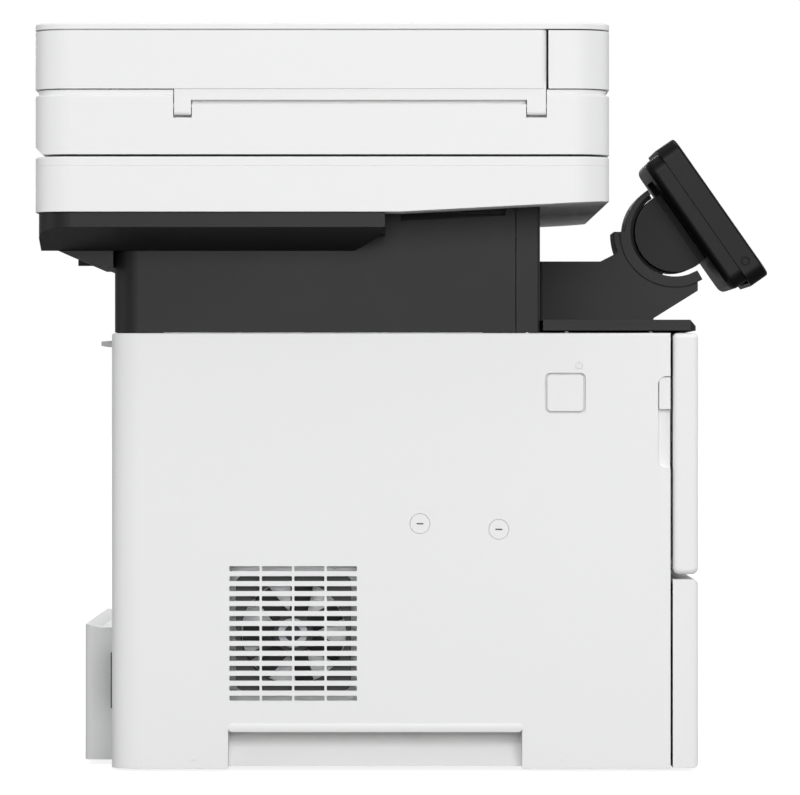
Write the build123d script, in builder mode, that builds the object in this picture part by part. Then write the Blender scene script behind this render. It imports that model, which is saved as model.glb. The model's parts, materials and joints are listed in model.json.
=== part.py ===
"""Desktop multifunction copier, built as the assembly that a service manual would draw.

Millimetres. +Z is up, the front faces -Y and the user's left is -X. The origin is on the floor under the
middle of the machine's own box. Left and right pieces mirror in X unless they say otherwise.
"""
import os
from math import cos, radians, sin

from build123d import *

os.makedirs("parts", exist_ok=True)

# ---------------------------------------------------------------- driving dimensions
# Scanner and feeder housing
HOUSING_WIDTH = 494.0
HOUSING_FRONT = -120.8
HOUSING_REAR = 225.4
HOUSING_CORNER = 22.0
SCANNER_BOTTOM = 338.5
SCANNER_HEIGHT = 33.1
SCANNER_RISE = 6.6          # how much the underside climbs towards the front edge
SCANNER_RISE_START = 5.0
FEEDER_GAP = 1.3            # slit between the scanner and the feeder above it
FEEDER_BASE_HEIGHT = 35.8
NECK_GROOVE = 3.6           # inset band between feeder base and feeder cover
NECK_INSET = 2.0
COVER_HEIGHT = 35.0
LID_GAP = 0.8
LID_THICKNESS = 3.9

# Print engine below
ENGINE_WIDTH = 410.0
ENGINE_FRONT = -175.7
ENGINE_REAR = 181.2
ENGINE_TOP = 266.1
COVER_BOTTOM = 1.5
FRONT_COVER_DEPTH = 15.4
SIDE_COVER_FRONT = -158.9
SIDE_COVER_CORNER = 18.0
CASSETTE_TOP = 116.4
COVER_SEAM = 3.1            # seam between the cassette front and the front cover above it
TAIL_DEPTH = 19.0
TAIL_HALF_WIDTH = 138.0
TAIL_TOP = 84.9

# Black waist between engine and scanner
WAIST_HALF_WIDTH = 203.0
WAIST_WALL = 15.0
WAIST_BOTTOM = 266.6
WAIST_FRONT = -79.7
WAIST_SEAM = -64.8
WAIST_REAR = 179.3
WAIST_CORNER = 15.0
WAIST_GAP = 4.2             # shadow gap under the scanner's rise, and how deep it goes
WAIST_GAP_DEPTH = 10.0
WAIST_GAP_START = 6.1       # behind the waist's seam
DECK_BOTTOM = 267.6
DECK_TOP = 274.2
DECK_REAR = -81.5
DECK_FRONT = -174.5

# Control panel and its neck
PIVOT_Y = -169.7
PIVOT_Z = 332.4
DRUM_RADIUS = 25.6
CRADLE_GAP = 2.8
CRADLE_WALL = 6.6
CRADLE_TAB = 3.9
HOOD_WALL = 3.4
NECK_HALF_WIDTH = 35.0
ARM_TOP = 313.5
ARM_BEND_Y = -122.1
PANEL_HALF_WIDTH = 65.0
PANEL_LEAN = 35.0           # degrees back from upright
PANEL_FACE_OFFSET = 31.8    # pivot to face, square to the face
PANEL_UP = 49.1             # face above the foot of that square
PANEL_DOWN = 55.7           # face below it
BEZEL_DEPTH = 13.4
REAR_CASE_DEPTH = 12.0

# Cassette
TRAY_HALF_WIDTH = 128.0
TRAY_BOTTOM = 8.0
TRAY_HEIGHT = 54.0
TRAY_REAR = 194.0
GUIDE_ROOM = 23.0           # from the side of the tray to the sheets' edge
PAPER_LENGTH = 297.0

# Sheet, walls and clearances
WALL = 2.5
STEEL = 1.5
CLEARANCE = 0.3             # between pieces that move past each other
RUNNING_FIT = 0.05          # radial, pin in bore
PIN_RADIUS = 2.0
FOOT_HEIGHT = 4.0

# ---------------------------------------------------------------- places worked out from them
half_housing = HOUSING_WIDTH / 2
half_engine = ENGINE_WIDTH / 2
scanner_top = SCANNER_BOTTOM + SCANNER_HEIGHT
feeder_bottom = scanner_top + FEEDER_GAP
feeder_top = feeder_bottom + FEEDER_BASE_HEIGHT
cover_bottom = feeder_top + NECK_GROOVE
cover_top = cover_bottom + COVER_HEIGHT
lid_bottom = cover_top + LID_GAP
lid_top = lid_bottom + LID_THICKNESS
front_cover_rear = ENGINE_FRONT + FRONT_COVER_DEPTH
front_cover_bottom = CASSETTE_TOP + COVER_SEAM
pan_bottom = FOOT_HEIGHT
pan_top = pan_bottom + STEEL
frame_plate_x = 160.0       # inner face of each side frame plate
waist_inner = WAIST_HALF_WIDTH - WAIST_WALL
tray_top = TRAY_BOTTOM + TRAY_HEIGHT
paper_half_width = TRAY_HALF_WIDTH - GUIDE_ROOM
cradle_inner = DRUM_RADIUS + CRADLE_GAP
cradle_outer = cradle_inner + CRADLE_WALL


# ---------------------------------------------------------------- shapes used over and over
def block(x, y, z, mode=Mode.ADD):
    """A square-edged block between two corners; x, y and z are (low, high) pairs."""
    with Locations(((x[0] + x[1]) / 2, (y[0] + y[1]) / 2, (z[0] + z[1]) / 2)):
        Box(x[1] - x[0], y[1] - y[0], z[1] - z[0], mode=mode)


def slab(x, y, z, corner, mode=Mode.ADD):
    """A flat block whose four upright edges are rounded."""
    with BuildSketch(Plane.XY.offset(z[0])) as outline:
        with Locations(((x[0] + x[1]) / 2, (y[0] + y[1]) / 2)):
            RectangleRounded(x[1] - x[0], y[1] - y[0], corner)
    extrude(outline.sketch, amount=z[1] - z[0], mode=mode)


def side_prism(points, x, mode=Mode.ADD):
    """A solid with the same (y, z) outline all the way from x[0] to x[1]."""
    with BuildSketch(Plane.YZ.offset(x[0])) as outline:
        with BuildLine():
            Polyline(*points, close=True)
        make_face()
    extrude(outline.sketch, amount=x[1] - x[0], mode=mode)


def front_prism(points, y, mode=Mode.ADD):
    """A solid with the same (x, z) outline all the way from y[0] to y[1]."""
    with BuildSketch(Plane.XZ.offset(-y[0])) as outline:
        with BuildLine():
            Polyline(*points, close=True)
        make_face()
    extrude(outline.sketch, amount=-(y[1] - y[0]), mode=mode)


def rod_x(x, y, z, radius, mode=Mode.ADD):
    """A round bar along X."""
    with BuildSketch(Plane.YZ.offset(x[0])) as outline:
        with Locations((y, z)):
            Circle(radius)
    extrude(outline.sketch, amount=x[1] - x[0], mode=mode)


def rod_y(x, y, z, radius, mode=Mode.ADD):
    """A round bar along Y."""
    with BuildSketch(Plane.XZ.offset(-y[0])) as outline:
        with Locations((x, z)):
            Circle(radius)
    extrude(outline.sketch, amount=-(y[1] - y[0]), mode=mode)


def rod_z(x, y, z, radius, mode=Mode.ADD):
    """An upright round bar."""
    with BuildSketch(Plane.XY.offset(z[0])) as outline:
        with Locations((x, y)):
            Circle(radius)
    extrude(outline.sketch, amount=z[1] - z[0], mode=mode)


def mirrored(x, side):
    """The (low, high) pair x of the right-hand side, put on side +1 or -1."""
    return (x[0], x[1]) if side > 0 else (-x[1], -x[0])


def write(builder, name):
    """Label a finished sub-part and write its STEP file."""
    builder.part.label = name
    export_step(builder.part, f"parts/{name}.step")


# ================================================================ engine: base and frames
FOOT_RADIUS = 9.0
FOOT_X = 168.0
FOOT_Y = (-132.0, 156.0)
PAN_HALF_WIDTH = 178.5
PAN_Y = (-153.0, 177.0)
PAN_LIP = 5.0
FRAME_HOLE = 5.0
FRAME_Y = (-150.0, 152.0)
FRAME_TOP = 255.0
STAY_X = (191.0, 193.0)      # upright plates that carry the scanner
STAY_Y = (WAIST_SEAM + 20, WAIST_REAR - 30)
STAY_FOOT_Y = (30.0, WAIST_REAR - 50)
COVER_HINGE_Y = ENGINE_FRONT + 5.7   # front cover's hinge line
COVER_HINGE_Z = front_cover_bottom + 5.0
EAR_RADIUS = 2.9

with BuildPart() as base_pan:
    block((-PAN_HALF_WIDTH, PAN_HALF_WIDTH), PAN_Y, (pan_bottom, pan_top))
    for side in (-1, 1):
        lip = mirrored((PAN_HALF_WIDTH - STEEL, PAN_HALF_WIDTH), side)
        block(lip, PAN_Y, (pan_top, pan_top + PAN_LIP))
    with Locations((0, (PAN_Y[0] + PAN_Y[1]) / 2, pan_bottom)):
        with GridLocations(2 * FOOT_X - 60, 120, 2, 3):
            Cylinder(FRAME_HOLE, 4 * STEEL, mode=Mode.SUBTRACT)
write(base_pan, "base_pan")

with BuildPart() as rubber_feet:
    for foot_y in FOOT_Y:
        for side in (-1, 1):
            rod_z(side * FOOT_X, foot_y, (0, pan_bottom), FOOT_RADIUS)
    chamfer(rubber_feet.faces().sort_by(Axis.Z)[:4].edges(), 0.8)
write(rubber_feet, "rubber_feet")

for side, name in ((-1, "left_frame_plate"), (1, "right_frame_plate")):
    with BuildPart() as plate:
        skin = mirrored((frame_plate_x, frame_plate_x + STEEL), side)
        foot = mirrored((frame_plate_x, frame_plate_x + 12), side)
        block(skin, FRAME_Y, (pan_top, FRAME_TOP))
        block(foot, FRAME_Y, (pan_top, pan_top + STEEL))
        for hole_y in (-110, -40, 30, 100):
            rod_x((skin[0] - 1, skin[1] + 1), hole_y, 222, 9, mode=Mode.SUBTRACT)
        # ear that carries the front cover's hinge pin
        block(skin, (COVER_HINGE_Y, FRAME_Y[0]), (COVER_HINGE_Z - EAR_RADIUS, COVER_HINGE_Z + EAR_RADIUS))
        rod_x(skin, COVER_HINGE_Y, COVER_HINGE_Z, EAR_RADIUS)
        rod_x((skin[0] - 1, skin[1] + 1), COVER_HINGE_Y, COVER_HINGE_Z, PIN_RADIUS + RUNNING_FIT,
              mode=Mode.SUBTRACT)
    write(plate, name)

# Rails that the cassette's side flanges run in
FLANGE_REACH = 6.0
FLANGE_BOTTOM = 40.0
FLANGE_THICKNESS = 3.0
RAIL_INNER = TRAY_HALF_WIDTH + 1.0
RAIL_Z = (30.0, 50.0)
RAIL_Y = (-148.0, 152.0)

with BuildPart() as cassette_rails:
    for side in (-1, 1):
        rail = mirrored((RAIL_INNER, frame_plate_x), side)
        slot = mirrored((RAIL_INNER - 1, TRAY_HALF_WIDTH + FLANGE_REACH + CLEARANCE), side)
        block(rail, RAIL_Y, RAIL_Z)
        block(slot, (RAIL_Y[0] - 1, RAIL_Y[1] + 1),
              (FLANGE_BOTTOM - CLEARANCE, FLANGE_BOTTOM + FLANGE_THICKNESS + CLEARANCE), mode=Mode.SUBTRACT)
write(cassette_rails, "cassette_rails")

# ================================================================ engine: side covers
WRAP_X = 165.0              # where the side covers end at the back
VENT_COLUMNS = 4
VENT_ROWS = 14
VENT_SLOT = (18.3, 3.0)
VENT_PITCH = (19.7, 6.05)
VENT_CENTRE = (70.3, 83.6)
BUTTON_CENTRE = (-95.05, 229.5)
BUTTON_OPENING = 24.7
BUTTON_GAP = 1.2
BUTTON_CORNER = 3.5
CAP_RADIUS = 6.0
CAP_PLACES = ((-6.7, 150.3), (-54.6, 146.9))
CAP_THICKNESS = 1.6
GRIP_Z = (184.0, 239.8)     # finger recess in the side cover's front edge
GRIP_LENGTH = 7.5
GRIP_DEPTH = 5.0
GRIP_CORNER = 5.0
GRIP_STEP_Z = 219.8         # above this the recess is almost filled by a raised pad
GRIP_STEP_SINK = 0.6
LIFT_Y = (-68.8, 109.8)     # lift recess
LIFT_TOP = 26.0
LIFT_DEPTH = (9.0, 24.0)    # at the bottom edge and at the top
SCREW_BOSS_RADIUS = 9.0
REAR_HINGE_Z = 100.0
REAR_HINGE_Y = ENGINE_REAR - 3.0

for side, name in ((-1, "left_side_cover"), (1, "right_side_cover")):
    outside = side * half_engine
    with BuildPart() as cover:
        with BuildSketch(Plane.XY.offset(COVER_BOTTOM)):
            with Locations((side * (half_engine + frame_plate_x + 5) / 2,
                            (SIDE_COVER_FRONT + ENGINE_REAR) / 2)):
                Rectangle(half_engine - frame_plate_x - 5, ENGINE_REAR - SIDE_COVER_FRONT)
        extrude(amount=ENGINE_TOP - COVER_BOTTOM)
        back_corner = cover.edges().filter_by(Axis.Z).sort_by(lambda edge: side * edge.center().X + edge.center().Y)[-1]
        fillet(back_corner, SIDE_COVER_CORNER)
        outer_top = cover.faces().sort_by(Axis.Z)[-1].edges().sort_by(lambda edge: side * edge.center().X)[-1]
        fillet(outer_top, 1.5)
        # hollow it, open towards the inside of the machine and underneath
        hollow = mirrored((frame_plate_x, half_engine - WALL), side)
        with BuildSketch(Plane.XY.offset(COVER_BOTTOM - 1)):
            with Locations(((hollow[0] + hollow[1]) / 2, (SIDE_COVER_FRONT + ENGINE_REAR) / 2)):
                Rectangle(hollow[1] - hollow[0], ENGINE_REAR - SIDE_COVER_FRONT - 2 * WALL)
            inner_corner = vertices().sort_by(lambda vertex: side * vertex.X + vertex.Y)[-1]
            fillet(inner_corner, SIDE_COVER_CORNER - WALL)
        extrude(amount=ENGINE_TOP - WALL - COVER_BOTTOM + 1, mode=Mode.SUBTRACT)
        # slot for the upright stay
        block(mirrored((STAY_X[0] - 0.5, STAY_X[1] + 0.5), side), (STAY_Y[0] - 0.5, STAY_Y[1] + 0.5),
              (ENGINE_TOP - 2 * WALL, ENGINE_TOP + 1), mode=Mode.SUBTRACT)
        # finger recess at the front edge, with a floor behind it
        grip_y = (SIDE_COVER_FRONT, SIDE_COVER_FRONT + GRIP_LENGTH)
        floor_x = mirrored((half_engine - GRIP_DEPTH - WALL, half_engine - WALL), side)
        recess_x = mirrored((half_engine - GRIP_DEPTH, half_engine + 1), side)
        block(floor_x, (grip_y[0], grip_y[1] + WALL), (GRIP_Z[0] - WALL, GRIP_Z[1] + WALL))
        with BuildSketch(Plane.YZ.offset(recess_x[0])):
            with Locations((grip_y[0], sum(GRIP_Z) / 2)):
                RectangleRounded(2 * GRIP_LENGTH, GRIP_Z[1] - GRIP_Z[0], GRIP_CORNER)
        extrude(amount=recess_x[1] - recess_x[0], mode=Mode.SUBTRACT)
        block(mirrored((half_engine - GRIP_DEPTH, half_engine - GRIP_STEP_SINK), side),
              (grip_y[0], grip_y[1] - GRIP_STEP_SINK), (GRIP_STEP_Z, GRIP_Z[1] - GRIP_STEP_SINK))
        # boss for the rear cover's hinge pin
        boss_x = mirrored((WRAP_X, WRAP_X + 5), side)
        block(boss_x, (REAR_HINGE_Y - 5, ENGINE_REAR - 1), (REAR_HINGE_Z - 5, REAR_HINGE_Z + 5))
        rod_x(boss_x, REAR_HINGE_Y, REAR_HINGE_Z, PIN_RADIUS + RUNNING_FIT, mode=Mode.SUBTRACT)
        # lift recess, open at the outside and underneath
        block(mirrored((half_engine - WALL - 1, half_engine + 1), side), LIFT_Y,
              (COVER_BOTTOM - 1, LIFT_TOP), mode=Mode.SUBTRACT)
        # vent grille
        with BuildSketch(Plane.YZ.offset(min(outside, outside - side * 2 * WALL))):
            with Locations(VENT_CENTRE):
                with GridLocations(*VENT_PITCH, VENT_COLUMNS, VENT_ROWS):
                    RectangleRounded(*VENT_SLOT, 0.6)
        extrude(amount=2 * WALL, mode=Mode.SUBTRACT)
        if side < 0:
            # opening for the power button, and seats for the two caps over the cover's screws
            with BuildSketch(Plane.YZ.offset(outside)):
                with Locations(BUTTON_CENTRE):
                    RectangleRounded(BUTTON_OPENING, BUTTON_OPENING, BUTTON_CORNER)
            extrude(amount=WALL, mode=Mode.SUBTRACT)
            for cap_y, cap_z in CAP_PLACES:
                rod_x((outside + WALL, outside + 2 * WALL), cap_y, cap_z, SCREW_BOSS_RADIUS)
                rod_x((outside, outside + CAP_THICKNESS), cap_y, cap_z, CAP_RADIUS + CLEARANCE / 2,
                      mode=Mode.SUBTRACT)
    write(cover, name)

with BuildPart() as screw_caps:
    for cap_y, cap_z in CAP_PLACES:
        rod_x((-half_engine + 0.2, -half_engine + CAP_THICKNESS), cap_y, cap_z, CAP_RADIUS)
write(screw_caps, "screw_caps")

POCKET_WALL = 2.0
with BuildPart() as lift_pockets:
    for side in (-1, 1):
        rim = half_engine - WALL
        sloped = [(side * (half_engine - LIFT_DEPTH[0]), COVER_BOTTOM + 1),
                  (side * (half_engine - LIFT_DEPTH[1]), LIFT_TOP - 1),
                  (side * rim, LIFT_TOP - 1), (side * rim, LIFT_TOP + POCKET_WALL),
                  (side * (half_engine - LIFT_DEPTH[1] - POCKET_WALL), LIFT_TOP + POCKET_WALL),
                  (side * (half_engine - LIFT_DEPTH[1] - POCKET_WALL), LIFT_TOP - 1),
                  (side * (half_engine - LIFT_DEPTH[0] - POCKET_WALL), COVER_BOTTOM + 1)]
        front_prism(sloped, LIFT_Y)
        end_wall = [(side * (half_engine - LIFT_DEPTH[0] - POCKET_WALL), COVER_BOTTOM + 1),
                    (side * rim, COVER_BOTTOM + 1), (side * rim, LIFT_TOP + POCKET_WALL),
                    (side * (half_engine - LIFT_DEPTH[1] - POCKET_WALL), LIFT_TOP + POCKET_WALL),
                    (side * (half_engine - LIFT_DEPTH[1] - POCKET_WALL), LIFT_TOP - 1)]
        front_prism(end_wall, (LIFT_Y[0] - POCKET_WALL, LIFT_Y[0]))
        front_prism(end_wall, (LIFT_Y[1], LIFT_Y[1] + POCKET_WALL))
write(lift_pockets, "lift_pockets")

# ================================================================ engine: rear
REAR_COVER_BOTTOM = 97.5
REAR_COVER_TOP = 257.0
TAB_Z = (258.3, 263.6)
TAB_TIP = 195.7
TAB_HALF_WIDTH = 30.0
INLET_X = (-162.0, -141.0)
INLET_Z = (38.0, 68.0)
PORT_X = (142.0, 162.0)
PORT_Z = (38.0, 78.0)

with BuildPart() as rear_panel:
    block((-WRAP_X + CLEARANCE, WRAP_X - CLEARANCE), (ENGINE_REAR - WALL, ENGINE_REAR), (COVER_BOTTOM, 94.6))
    block((-TAIL_HALF_WIDTH + 3, TAIL_HALF_WIDTH - 3), (ENGINE_REAR - 5, ENGINE_REAR + 1), (6.5, 84),
          mode=Mode.SUBTRACT)
    block((INLET_X[0] + 1, INLET_X[1] - 1), (ENGINE_REAR - 5, ENGINE_REAR + 1),
          (INLET_Z[0] + 1, INLET_Z[1] - 1),
          mode=Mode.SUBTRACT)
    block((PORT_X[0] + 1, PORT_X[1] - 1), (ENGINE_REAR - 5, ENGINE_REAR + 1), (PORT_Z[0] + 1, PORT_Z[1] - 1),
          mode=Mode.SUBTRACT)
write(rear_panel, "rear_panel")

TAIL_SLOPE_Y = 9.0
TAIL_LOW_TOP = 86.7
TAIL_BOTTOM = 3.0
with BuildPart() as tail_box:
    tail_outline = [(ENGINE_REAR, TAIL_BOTTOM), (ENGINE_REAR + TAIL_DEPTH, TAIL_BOTTOM),
                    (ENGINE_REAR + TAIL_DEPTH, TAIL_LOW_TOP),
                    (ENGINE_REAR + TAIL_SLOPE_Y, TAIL_TOP - 0.3), (ENGINE_REAR, TAIL_TOP)]
    side_prism(tail_outline, (-TAIL_HALF_WIDTH, TAIL_HALF_WIDTH))
    rear_corners = tail_box.edges().filter_by(Axis.Z).group_by(Axis.Y)[-1]
    fillet(rear_corners, 5)
    tail_hollow = [(ENGINE_REAR - 1, TAIL_BOTTOM + WALL),
                   (ENGINE_REAR + TAIL_DEPTH - WALL, TAIL_BOTTOM + WALL),
                   (ENGINE_REAR + TAIL_DEPTH - WALL, TAIL_LOW_TOP - WALL),
                   (ENGINE_REAR + TAIL_SLOPE_Y, TAIL_TOP - 2 * WALL), (ENGINE_REAR - 1, TAIL_TOP - 2 * WALL)]
    side_prism(tail_hollow, (-TAIL_HALF_WIDTH + WALL, TAIL_HALF_WIDTH - WALL), mode=Mode.SUBTRACT)
write(tail_box, "tail_box")

with BuildPart() as rear_cover:
    block((-WRAP_X + 1.5, WRAP_X - 1.5), (ENGINE_REAR - WALL, ENGINE_REAR),
          (REAR_COVER_BOTTOM, REAR_COVER_TOP))
    tab = [(ENGINE_REAR - WALL, REAR_COVER_TOP), (ENGINE_REAR - WALL, TAB_Z[1]), (ENGINE_REAR, TAB_Z[1]),
           (TAB_TIP, TAB_Z[1] - 1), (TAB_TIP, TAB_Z[0] + 1.5), (ENGINE_REAR, TAB_Z[0]),
           (ENGINE_REAR, REAR_COVER_TOP)]
    side_prism(tab, (-TAB_HALF_WIDTH, TAB_HALF_WIDTH))
    # ribs that turn the sheet upwards
    for rib in range(7):
        rib_x = -90 + 30 * rib
        side_prism([(ENGINE_REAR - WALL, 130), (ENGINE_REAR - WALL, 235), (ENGINE_REAR - 12, 225),
                    (ENGINE_REAR - 14, 180), (ENGINE_REAR - 10, 140)], (rib_x - 0.8, rib_x + 0.8))
    for side in (-1, 1):
        rod_x(mirrored((WRAP_X - 21.5, WRAP_X - 1.5), side), REAR_HINGE_Y, REAR_HINGE_Z, 2.5)
        rod_x(mirrored((WRAP_X - 1.5, WRAP_X + 3), side), REAR_HINGE_Y, REAR_HINGE_Z, PIN_RADIUS)
write(rear_cover, "rear_cover")

# ================================================================ engine: front cover and multipurpose tray
FEED_OPENING_X = 140.0
FEED_OPENING_Z = (128.6, 236.0)
FEED_HINGE_Y = ENGINE_FRONT + 3.2
FEED_HINGE_Z = FEED_OPENING_Z[0] + 4.4
FEED_TRAY_THICKNESS = 4.0
KNUCKLE_X = (163.0, 170.0)

with BuildPart() as front_cover:
    block((-half_engine, half_engine), (ENGINE_FRONT, front_cover_rear), (front_cover_bottom, ENGINE_TOP))
    fillet(front_cover.edges().filter_by(Axis.X).group_by(Axis.Z)[0], 4)
    fillet(front_cover.faces().sort_by(Axis.Y)[0].edges().filter_by(Axis.Z), 3)
    fillet(front_cover.faces().sort_by(Axis.Y)[0].edges().group_by(Axis.Z)[-1], 3)
    block((-half_engine + WALL, half_engine - WALL), (ENGINE_FRONT + WALL, front_cover_rear + 1),
          (front_cover_bottom + WALL, ENGINE_TOP - WALL), mode=Mode.SUBTRACT)
    # frame round the multipurpose tray's opening
    block((-FEED_OPENING_X - WALL, FEED_OPENING_X + WALL), (ENGINE_FRONT + 1, front_cover_rear),
          (front_cover_bottom + 1, FEED_OPENING_Z[1] + WALL))
    block((-FEED_OPENING_X, FEED_OPENING_X), (ENGINE_FRONT - 1, front_cover_rear + 1), FEED_OPENING_Z,
          mode=Mode.SUBTRACT)
    # finger dip above the tray
    with Locations((0, ENGINE_FRONT - 4, FEED_OPENING_Z[1])):
        Cylinder(22, 14, rotation=(90, 0, 0), mode=Mode.SUBTRACT)
    for side in (-1, 1):
        # room for the frame's ear, and a knuckle that holds the pin through it
        block(mirrored((frame_plate_x - 1.5, KNUCKLE_X[0]), side),
              (ENGINE_FRONT + WALL, front_cover_rear + 1),
              (front_cover_bottom - 1, COVER_HINGE_Z + 8), mode=Mode.SUBTRACT)
        block(mirrored(KNUCKLE_X, side), (ENGINE_FRONT + 1, COVER_HINGE_Y + 3),
              (COVER_HINGE_Z - 3, COVER_HINGE_Z + 3))
        rod_x(mirrored((frame_plate_x - 1.0, KNUCKLE_X[0] + 1), side), COVER_HINGE_Y, COVER_HINGE_Z,
              PIN_RADIUS)
        rod_x(mirrored((FEED_OPENING_X - 0.5, FEED_OPENING_X + 1), side), FEED_HINGE_Y, FEED_HINGE_Z,
              PIN_RADIUS)
write(front_cover, "front_cover")

with BuildPart() as mp_tray:
    tray_x = (-FEED_OPENING_X + 0.8, FEED_OPENING_X - 0.8)
    block(tray_x, (ENGINE_FRONT, ENGINE_FRONT + FEED_TRAY_THICKNESS),
          (FEED_OPENING_Z[0] + 2, FEED_OPENING_Z[1] - 0.8))
    fillet(mp_tray.edges().filter_by(Axis.X).group_by(Axis.Z)[0].sort_by(Axis.Y)[0], 3)
    rod_x(tray_x, FEED_HINGE_Y, FEED_HINGE_Z, 3.0)
    # paper side of the tray: two raised side guides and a middle rib
    for rib_x in (-109.0, 0.0, 109.0):
        block((rib_x - 1.5, rib_x + 1.5), (ENGINE_FRONT + FEED_TRAY_THICKNESS, front_cover_rear - 2),
              (FEED_OPENING_Z[0] + 16, FEED_OPENING_Z[1] - 8))
    for side in (-1, 1):
        rod_x(mirrored((FEED_OPENING_X - 6, FEED_OPENING_X), side), FEED_HINGE_Y, FEED_HINGE_Z,
              PIN_RADIUS + RUNNING_FIT, mode=Mode.SUBTRACT)
    with Locations((0, ENGINE_FRONT - 4, FEED_OPENING_Z[1])):
        Cylinder(22, 14, rotation=(90, 0, 0), mode=Mode.SUBTRACT)
write(mp_tray, "mp_tray")

# ================================================================ cassette
CASSETTE_FRONT_BOTTOM = 2.0
HANDLE_X = 62.0
HANDLE_Z = (74.0, 100.0)
HANDLE_DEPTH = 10.5
LIFT_HINGE_Y = 38.0
LIFT_HINGE_Z = TRAY_BOTTOM + WALL + 3.2
LIFT_PLATE_X = paper_half_width - 5.0
LIFT_TONGUE_X = paper_half_width - 45.0
GUIDE_Y = (-58.0, 62.0)

with BuildPart() as cassette_front:
    block((-half_engine, half_engine), (ENGINE_FRONT, front_cover_rear),
          (CASSETTE_FRONT_BOTTOM, CASSETTE_TOP))
    fillet(cassette_front.faces().sort_by(Axis.Y)[0].edges(), 3)
    block((-half_engine + WALL, half_engine - WALL), (ENGINE_FRONT + WALL, front_cover_rear + 1),
          (CASSETTE_FRONT_BOTTOM + WALL, CASSETTE_TOP - WALL), mode=Mode.SUBTRACT)
    # grip pocket with its own floor
    block((-HANDLE_X - WALL, HANDLE_X + WALL), (ENGINE_FRONT + 1, ENGINE_FRONT + HANDLE_DEPTH + WALL),
          (HANDLE_Z[0] - WALL, HANDLE_Z[1] + WALL))
    with BuildSketch(Plane.XZ.offset(-ENGINE_FRONT + 1)):
        with Locations((0, sum(HANDLE_Z) / 2)):
            RectangleRounded(2 * HANDLE_X, HANDLE_Z[1] - HANDLE_Z[0], 6)
    extrude(amount=-(HANDLE_DEPTH + 1), mode=Mode.SUBTRACT)
    # back plate that the tray is screwed to
    block((-TRAY_HALF_WIDTH, TRAY_HALF_WIDTH), (front_cover_rear - WALL, front_cover_rear),
          (CASSETTE_FRONT_BOTTOM + WALL, HANDLE_Z[0] - WALL - 1))
write(cassette_front, "cassette_front")

with BuildPart() as cassette_tray:
    tray_y = (front_cover_rear, TRAY_REAR)
    block((-TRAY_HALF_WIDTH, TRAY_HALF_WIDTH), tray_y, (TRAY_BOTTOM, tray_top))
    block((-TRAY_HALF_WIDTH + WALL, TRAY_HALF_WIDTH - WALL), (tray_y[0] + WALL, tray_y[1] - WALL),
          (TRAY_BOTTOM + WALL, tray_top + 1), mode=Mode.SUBTRACT)
    for side in (-1, 1):
        block(mirrored((TRAY_HALF_WIDTH - 1, TRAY_HALF_WIDTH + FLANGE_REACH), side),
              (tray_y[0] + 14, tray_y[1] - 20),
              (FLANGE_BOTTOM, FLANGE_BOTTOM + FLANGE_THICKNESS))
        ear = mirrored((LIFT_TONGUE_X + 1, LIFT_TONGUE_X + 6), side)
        block(ear, (LIFT_HINGE_Y - 4, LIFT_HINGE_Y + 4), (TRAY_BOTTOM + WALL, LIFT_HINGE_Z + 4))
        rod_x(ear, LIFT_HINGE_Y, LIFT_HINGE_Z, PIN_RADIUS + RUNNING_FIT, mode=Mode.SUBTRACT)
    # fixed end stop for the sheets
    end_stop_y = tray_y[0] + 14 + PAPER_LENGTH + 1
    block((-20, 20), (end_stop_y, end_stop_y + WALL), (TRAY_BOTTOM + WALL, tray_top - 8))
write(cassette_tray, "cassette_tray")

with BuildPart() as lift_plate:
    plate_z = (LIFT_HINGE_Z - STEEL / 2, LIFT_HINGE_Z + STEEL / 2)
    block((-LIFT_PLATE_X, LIFT_PLATE_X), (front_cover_rear + 14, GUIDE_Y[0] - 6), plate_z)
    block((-LIFT_TONGUE_X, LIFT_TONGUE_X), (GUIDE_Y[0] - 7, LIFT_HINGE_Y), plate_z)
    rod_x((-LIFT_TONGUE_X - 5, LIFT_TONGUE_X + 5), LIFT_HINGE_Y, LIFT_HINGE_Z, PIN_RADIUS)
write(lift_plate, "lift_plate")

for side, name in ((-1, "left_paper_guide"), (1, "right_paper_guide")):
    with BuildPart() as guide:
        floor = TRAY_BOTTOM + WALL
        block(mirrored((paper_half_width, paper_half_width + 2.5), side), GUIDE_Y,
              (floor + CLEARANCE, tray_top - 6))
        block(mirrored((paper_half_width, paper_half_width + 14), side), (GUIDE_Y[0] + 20, GUIDE_Y[1] - 20),
              (floor + CLEARANCE, floor + CLEARANCE + 3))
        for rib_y in (GUIDE_Y[0] + 25, sum(GUIDE_Y) / 2, GUIDE_Y[1] - 25):
            rib = [(side * paper_half_width, floor + 2), (side * (paper_half_width + 13), floor + 2),
                   (side * (paper_half_width + 2), tray_top - 10)]
            front_prism(rib, (rib_y - 1, rib_y + 1))
    write(guide, name)

# ================================================================ engine: button, fan, board
BUTTON_TRAVEL = 2.0
SWITCH_FACE = -182.0
BOARD_X = (-170.0, -168.4)
BOARD_Y = (-140.0, 20.0)
BOARD_Z = (110.0, 250.0)

with BuildPart() as power_button:
    cap = BUTTON_OPENING - 2 * BUTTON_GAP
    for plane_x, width, corner, thickness in (
            (-half_engine, cap, BUTTON_CORNER - BUTTON_GAP, 4.0),
            (-half_engine + WALL + CLEARANCE, BUTTON_OPENING + 3, BUTTON_CORNER, 1.5)):
        with BuildSketch(Plane.YZ.offset(plane_x)):
            with Locations(BUTTON_CENTRE):
                RectangleRounded(width, width, corner)
        extrude(amount=thickness)
    fillet(power_button.faces().sort_by(Axis.X)[0].edges(), 0.6)
    rod_x((-half_engine + 3, SWITCH_FACE - BUTTON_TRAVEL - CLEARANCE), *BUTTON_CENTRE, 3)
write(power_button, "power_button")

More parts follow.
